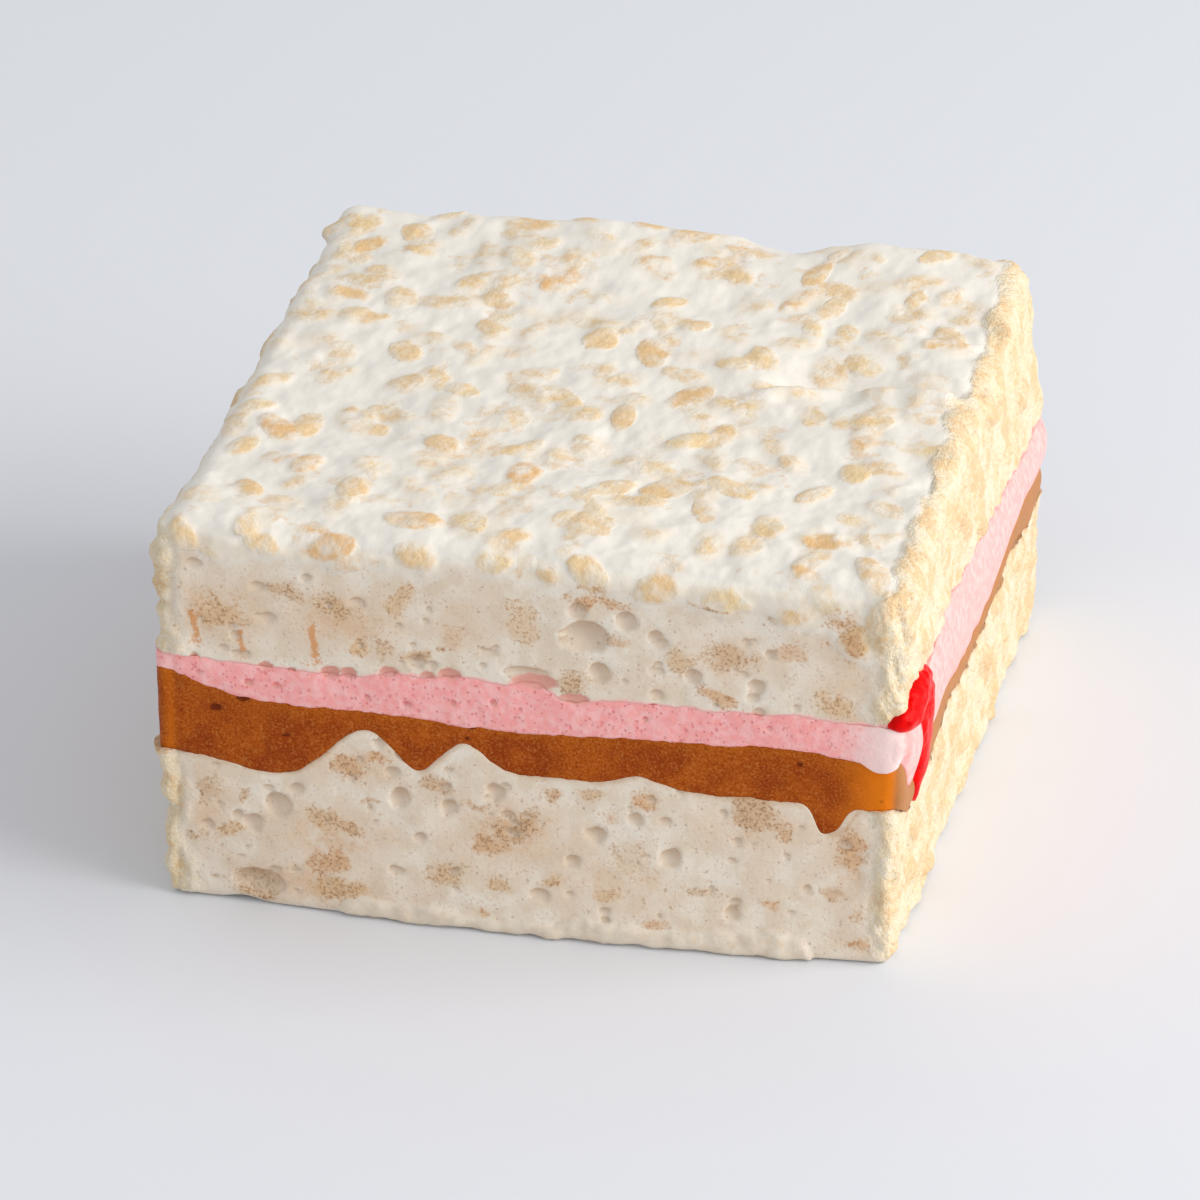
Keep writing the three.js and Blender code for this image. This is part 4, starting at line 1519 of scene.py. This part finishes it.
def pink_material():
    f = Finish("pink_marshmallow")
    end = f.attribute("end")
    cut = f.math("SUBTRACT", 1.0, f.most(end, f.attribute("side")))
    large = f.most(f.pores(1.1, 0.36), f.pores(2.9, 0.5))
    pores = f.times(f.most(f.pores(0.42, 0.22), large), cut)
    colour = f.mix(f.step(f.noise(0.9, 3), 0.35, 0.68), PINK, PINK_LIGHT)
    # Painted light on the two ends.
    colour = f.mix(f.times(end, 0.85), colour, PINK_LIT_END)
    # Painted shade: pores darker, and hollows darkest under their upper rims.
    colour = f.mix(f.times(pores, 0.55), colour, PINK_PORE_SHADE)
    bowl = f.mix(f.step(f.attribute("pit_height"), -0.6, 0.6), PINK_BOWL_SHADE, PINK_PORE_SHADE)
    colour = f.mix(f.step(f.attribute("pit"), -0.03, 0.2, 0, 0.75), colour, bowl)
    grain = f.times(f.noise(0.7, 2), 0.1)
    height = f.math("SUBTRACT", grain, f.times(pores, 0.06))
    f.shader.inputs["Specular IOR Level"].default_value = 0.25
    return f.set(Base_Color=colour, Normal=f.bump(height), Roughness=0.6)


# %% Caramel material
CARAMEL = (0.33, 0.052, 0.001)
CARAMEL_LIGHT = (0.46, 0.095, 0.003)
CARAMEL_GRAIN = (0.58, 0.21, 0.05)
CARAMEL_DARK = (0.24, 0.03, 0.001)
CARAMEL_EDGE = (0.50, 0.12, 0.004)
# Painted light: the caramel glows orange at the front's two ends.
CARAMEL_PAINTED_GLOW = (0.80, 0.20, 0.004)
CARAMEL_SIDE = (0.46, 0.22, 0.085)
# Painted shade: near-black in the caramel's pores and hollows.
CARAMEL_PORE_SHADE = (0.12, 0.012, 0.002)


def caramel_material():
    f = Finish("caramel")
    fine = f.noise(0.26, 3, rough=0.7)
    colour = f.mix(f.step(f.noise(3.0, 3), 0.35, 0.68), CARAMEL, CARAMEL_LIGHT)
    colour = f.mix(f.step(f.attribute("share"), 0.72, 1.0, 0, 0.5), colour, CARAMEL_EDGE)
    colour = f.mix(f.step(fine, 0.5, 0.7, 0, 0.65), colour, CARAMEL_GRAIN)
    colour = f.mix(f.step(fine, 0.34, 0.5, 0.7, 0), colour, CARAMEL_DARK)
    # Painted light: glow at the two ends.
    colour = f.mix(f.attribute("end"), colour, CARAMEL_PAINTED_GLOW)
    colour = f.mix(f.times(f.attribute("side"), 0.85), colour, CARAMEL_SIDE)
    # Pores and hollows are painted near-black as shade.
    pit = f.step(f.attribute("pit"), -0.03, 0.2)
    pores = f.most(f.most(f.pores(2.2, 0.34), f.pores(0.9, 0.16)), pit)
    colour = f.mix(f.times(pores, 0.75), colour, CARAMEL_PORE_SHADE)
    height = f.times(fine, 0.07)
    f.shader.inputs["Specular IOR Level"].default_value = 0.1
    return f.set(Base_Color=colour, Normal=f.bump(height), Roughness=0.5)


# %% Pink layer and caramel layer
pink = make_band("pink_layer", BANDS["pink"], pink_material())
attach(pink, "root")
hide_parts("pink_marshmallow")

caramel = make_band("caramel_sheet", BANDS["caramel"], caramel_material())
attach(caramel, "root")
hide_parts("caramel_layer")

# %% [markdown]
# ## Jam
# The jam is one glossy drop: a flat pocket that has squeezed out between the layers at the right
# front corner, and a run down the side. Its surface is found by looking outwards from one point
# inside it, in every direction, for the last place where its rounded lumps still hold jam.

# %% Jam
# Lumps of jam: x, y, z and half sizes along X, Y and Z.
JAM = [
    (38.6, -33.9, 29.6, 2.1, 6.3, 1.5),
    (39.2, -37.6, 29.2, 1.5, 2.4, 1.3),
    (39.3, -35.6, 30.6, 1.6, 2.8, 1.6),
    (39.4, -33.6, 30.8, 1.6, 2.6, 1.8),
    (39.5, -31.0, 27.6, 1.5, 3.4, 3.0),
    (39.6, -30.9, 24.6, 1.3, 2.9, 3.2),
    (39.4, -31.2, 21.0, 1.15, 2.2, 2.6),
    (39.0, -32.4, 18.0, 0.9, 1.0, 2.4),
]
JAM_LOOKOUT = np.array([39.0, -32.2, 28.9])
JAM_GRID = {"around": 220, "up": 150, "steps": 90, "reach": 13.0}
JAM_BLEND = 0.35
JAM_RED = (0.78, 0.0, 0.0)
JAM_DEEP = (0.62, 0.0, 0.0)


def jam_field(points):
    """Above 0 inside the jam: the exponentials of how deep a point is in each lump are added up,
    which melts the lumps together."""
    total = np.zeros(len(points))
    for lump in JAM:
        centre, half = np.array(lump[:3]), np.array(lump[3:])
        outside = np.linalg.norm((points - centre) / half, axis=1) - 1
        total += np.exp(-outside * half.min() / JAM_BLEND)
    return JAM_BLEND * np.log(total)


def jam_reach(ways):
    """How far the jam reaches from the lookout each way: the last step at which it is still jam,
    and then on to where the field falls to 0."""
    far = np.zeros(len(ways))
    last = np.full(len(ways), -1.0)
    step = JAM_GRID["reach"] / JAM_GRID["steps"]
    for distance in np.linspace(0, JAM_GRID["reach"], JAM_GRID["steps"]):
        inside = jam_field(JAM_LOOKOUT + ways * distance)
        crossing = distance - step + step * last / np.maximum(last - inside, 1e-6)
        far = np.where(inside > 0, distance, np.where(last > 0, crossing, far))
        last = inside
    return far + uneven(JAM_LOOKOUT + ways * far[:, None], "jam")


def make_jam(finish):
    """A sphere of directions, each drawn out as far as the jam reaches."""
    around = np.linspace(0, 2 * np.pi, JAM_GRID["around"], endpoint=False)
    up = np.linspace(-np.pi / 2, np.pi / 2, JAM_GRID["up"] + 1)[1:-1]
    a, b = np.meshgrid(around, up, indexing="ij")
    ways = np.stack([np.cos(a) * np.cos(b), np.sin(a) * np.cos(b), np.sin(b)], axis=-1)
    ways = np.vstack([ways.reshape(-1, 3), [[0, 0, -1], [0, 0, 1]]])
    points = JAM_LOOKOUT + ways * jam_reach(ways)[:, None]
    rings, steps = JAM_GRID["around"], len(up)
    index = np.arange(rings * steps).reshape(rings, steps)
    after = np.roll(index, -1, axis=0)
    squares = np.stack([index[:, :-1], after[:, :-1], after[:, 1:], index[:, 1:]], axis=-1)
    south, north = np.full(rings, rings * steps), np.full(rings, rings * steps + 1)
    low = np.stack([after[:, 0], index[:, 0], south], axis=1)
    high = np.stack([index[:, -1], after[:, -1], north], axis=1)
    return make_piece("jam_drop", points, squares.reshape(-1, 4), [low, high], None, finish)


def jam_material():
    f = Finish("jam")
    colour = f.mix(f.step(f.noise(1.5, 2), 0.4, 0.65), JAM_RED, JAM_DEEP)
    f.shader.inputs["Specular IOR Level"].default_value = 0.08
    height = f.times(f.noise(0.9, 2), 0.12)
    return f.set(Base_Color=colour, Normal=f.bump(height), Roughness=0.3)


jam = make_jam(jam_material())
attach(jam, "root")
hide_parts("jam_pocket")

# %% [markdown]
# ## The studio
# A plain pale floor runs far out, one large soft lamp stands to the right and a little behind,
# and soft light comes from all round. The front is in gentle shade, as on a cloudy day.

# %% Floor and light
FLOOR_RADIUS = 6.0
FLOOR_CORNERS = 64
FLOOR = (0.79, 0.815, 0.865)
KEY = {"place": (0.88, -0.08, 0.43), "size": 0.8, "power": 9.2, "colour": (1.0, 0.975, 0.94)}
SKY = {"colour": (0.98, 0.99, 1.01), "strength": 0.63}


def make_floor():
    """A disc in the plane z = 0, as a fan of triangles round the origin."""
    count = FLOOR_CORNERS
    angle = np.linspace(0, 2 * np.pi, count, endpoint=False)
    rim = np.stack([np.cos(angle), np.sin(angle), np.zeros(count)], axis=1) * FLOOR_RADIUS / MM
    points = np.vstack([rim, [[0, 0, 0]]])
    index = np.arange(count)
    fan = np.stack([index, np.roll(index, -1), np.full(count, count)], axis=1)
    f = Finish("studio_paper")
    f.set(Base_Color=FLOOR, Roughness=0.75)
    return make_piece("floor", points, np.zeros((0, 4), int), [fan], None, f.material)


def make_light():
    data = bpy.data.lights.new("key", "AREA")
    data.shape = "SQUARE"
    data.size = KEY["size"]
    data.energy = KEY["power"]
    data.color = KEY["colour"]
    key = bpy.data.objects.new("key", data)
    place = np.array(KEY["place"])
    back = place / np.linalg.norm(place)
    right = np.cross([0, 0, 1], back)
    right /= np.linalg.norm(right)
    turn = np.eye(4)
    turn[:3, :3] = np.stack([right, np.cross(back, right), back], axis=1)
    turn[:3, 3] = place
    key.matrix_world = Matrix(turn.tolist())
    bpy.context.scene.collection.objects.link(key)
    world = bpy.data.worlds.new("sky")
    world.use_nodes = True
    background = world.node_tree.nodes["Background"]
    background.inputs["Color"].default_value = (*SKY["colour"], 1)
    background.inputs["Strength"].default_value = SKY["strength"]
    bpy.context.scene.world = world


floor = make_floor()
make_light()
bpy.context.scene.view_settings.view_transform = "Standard"
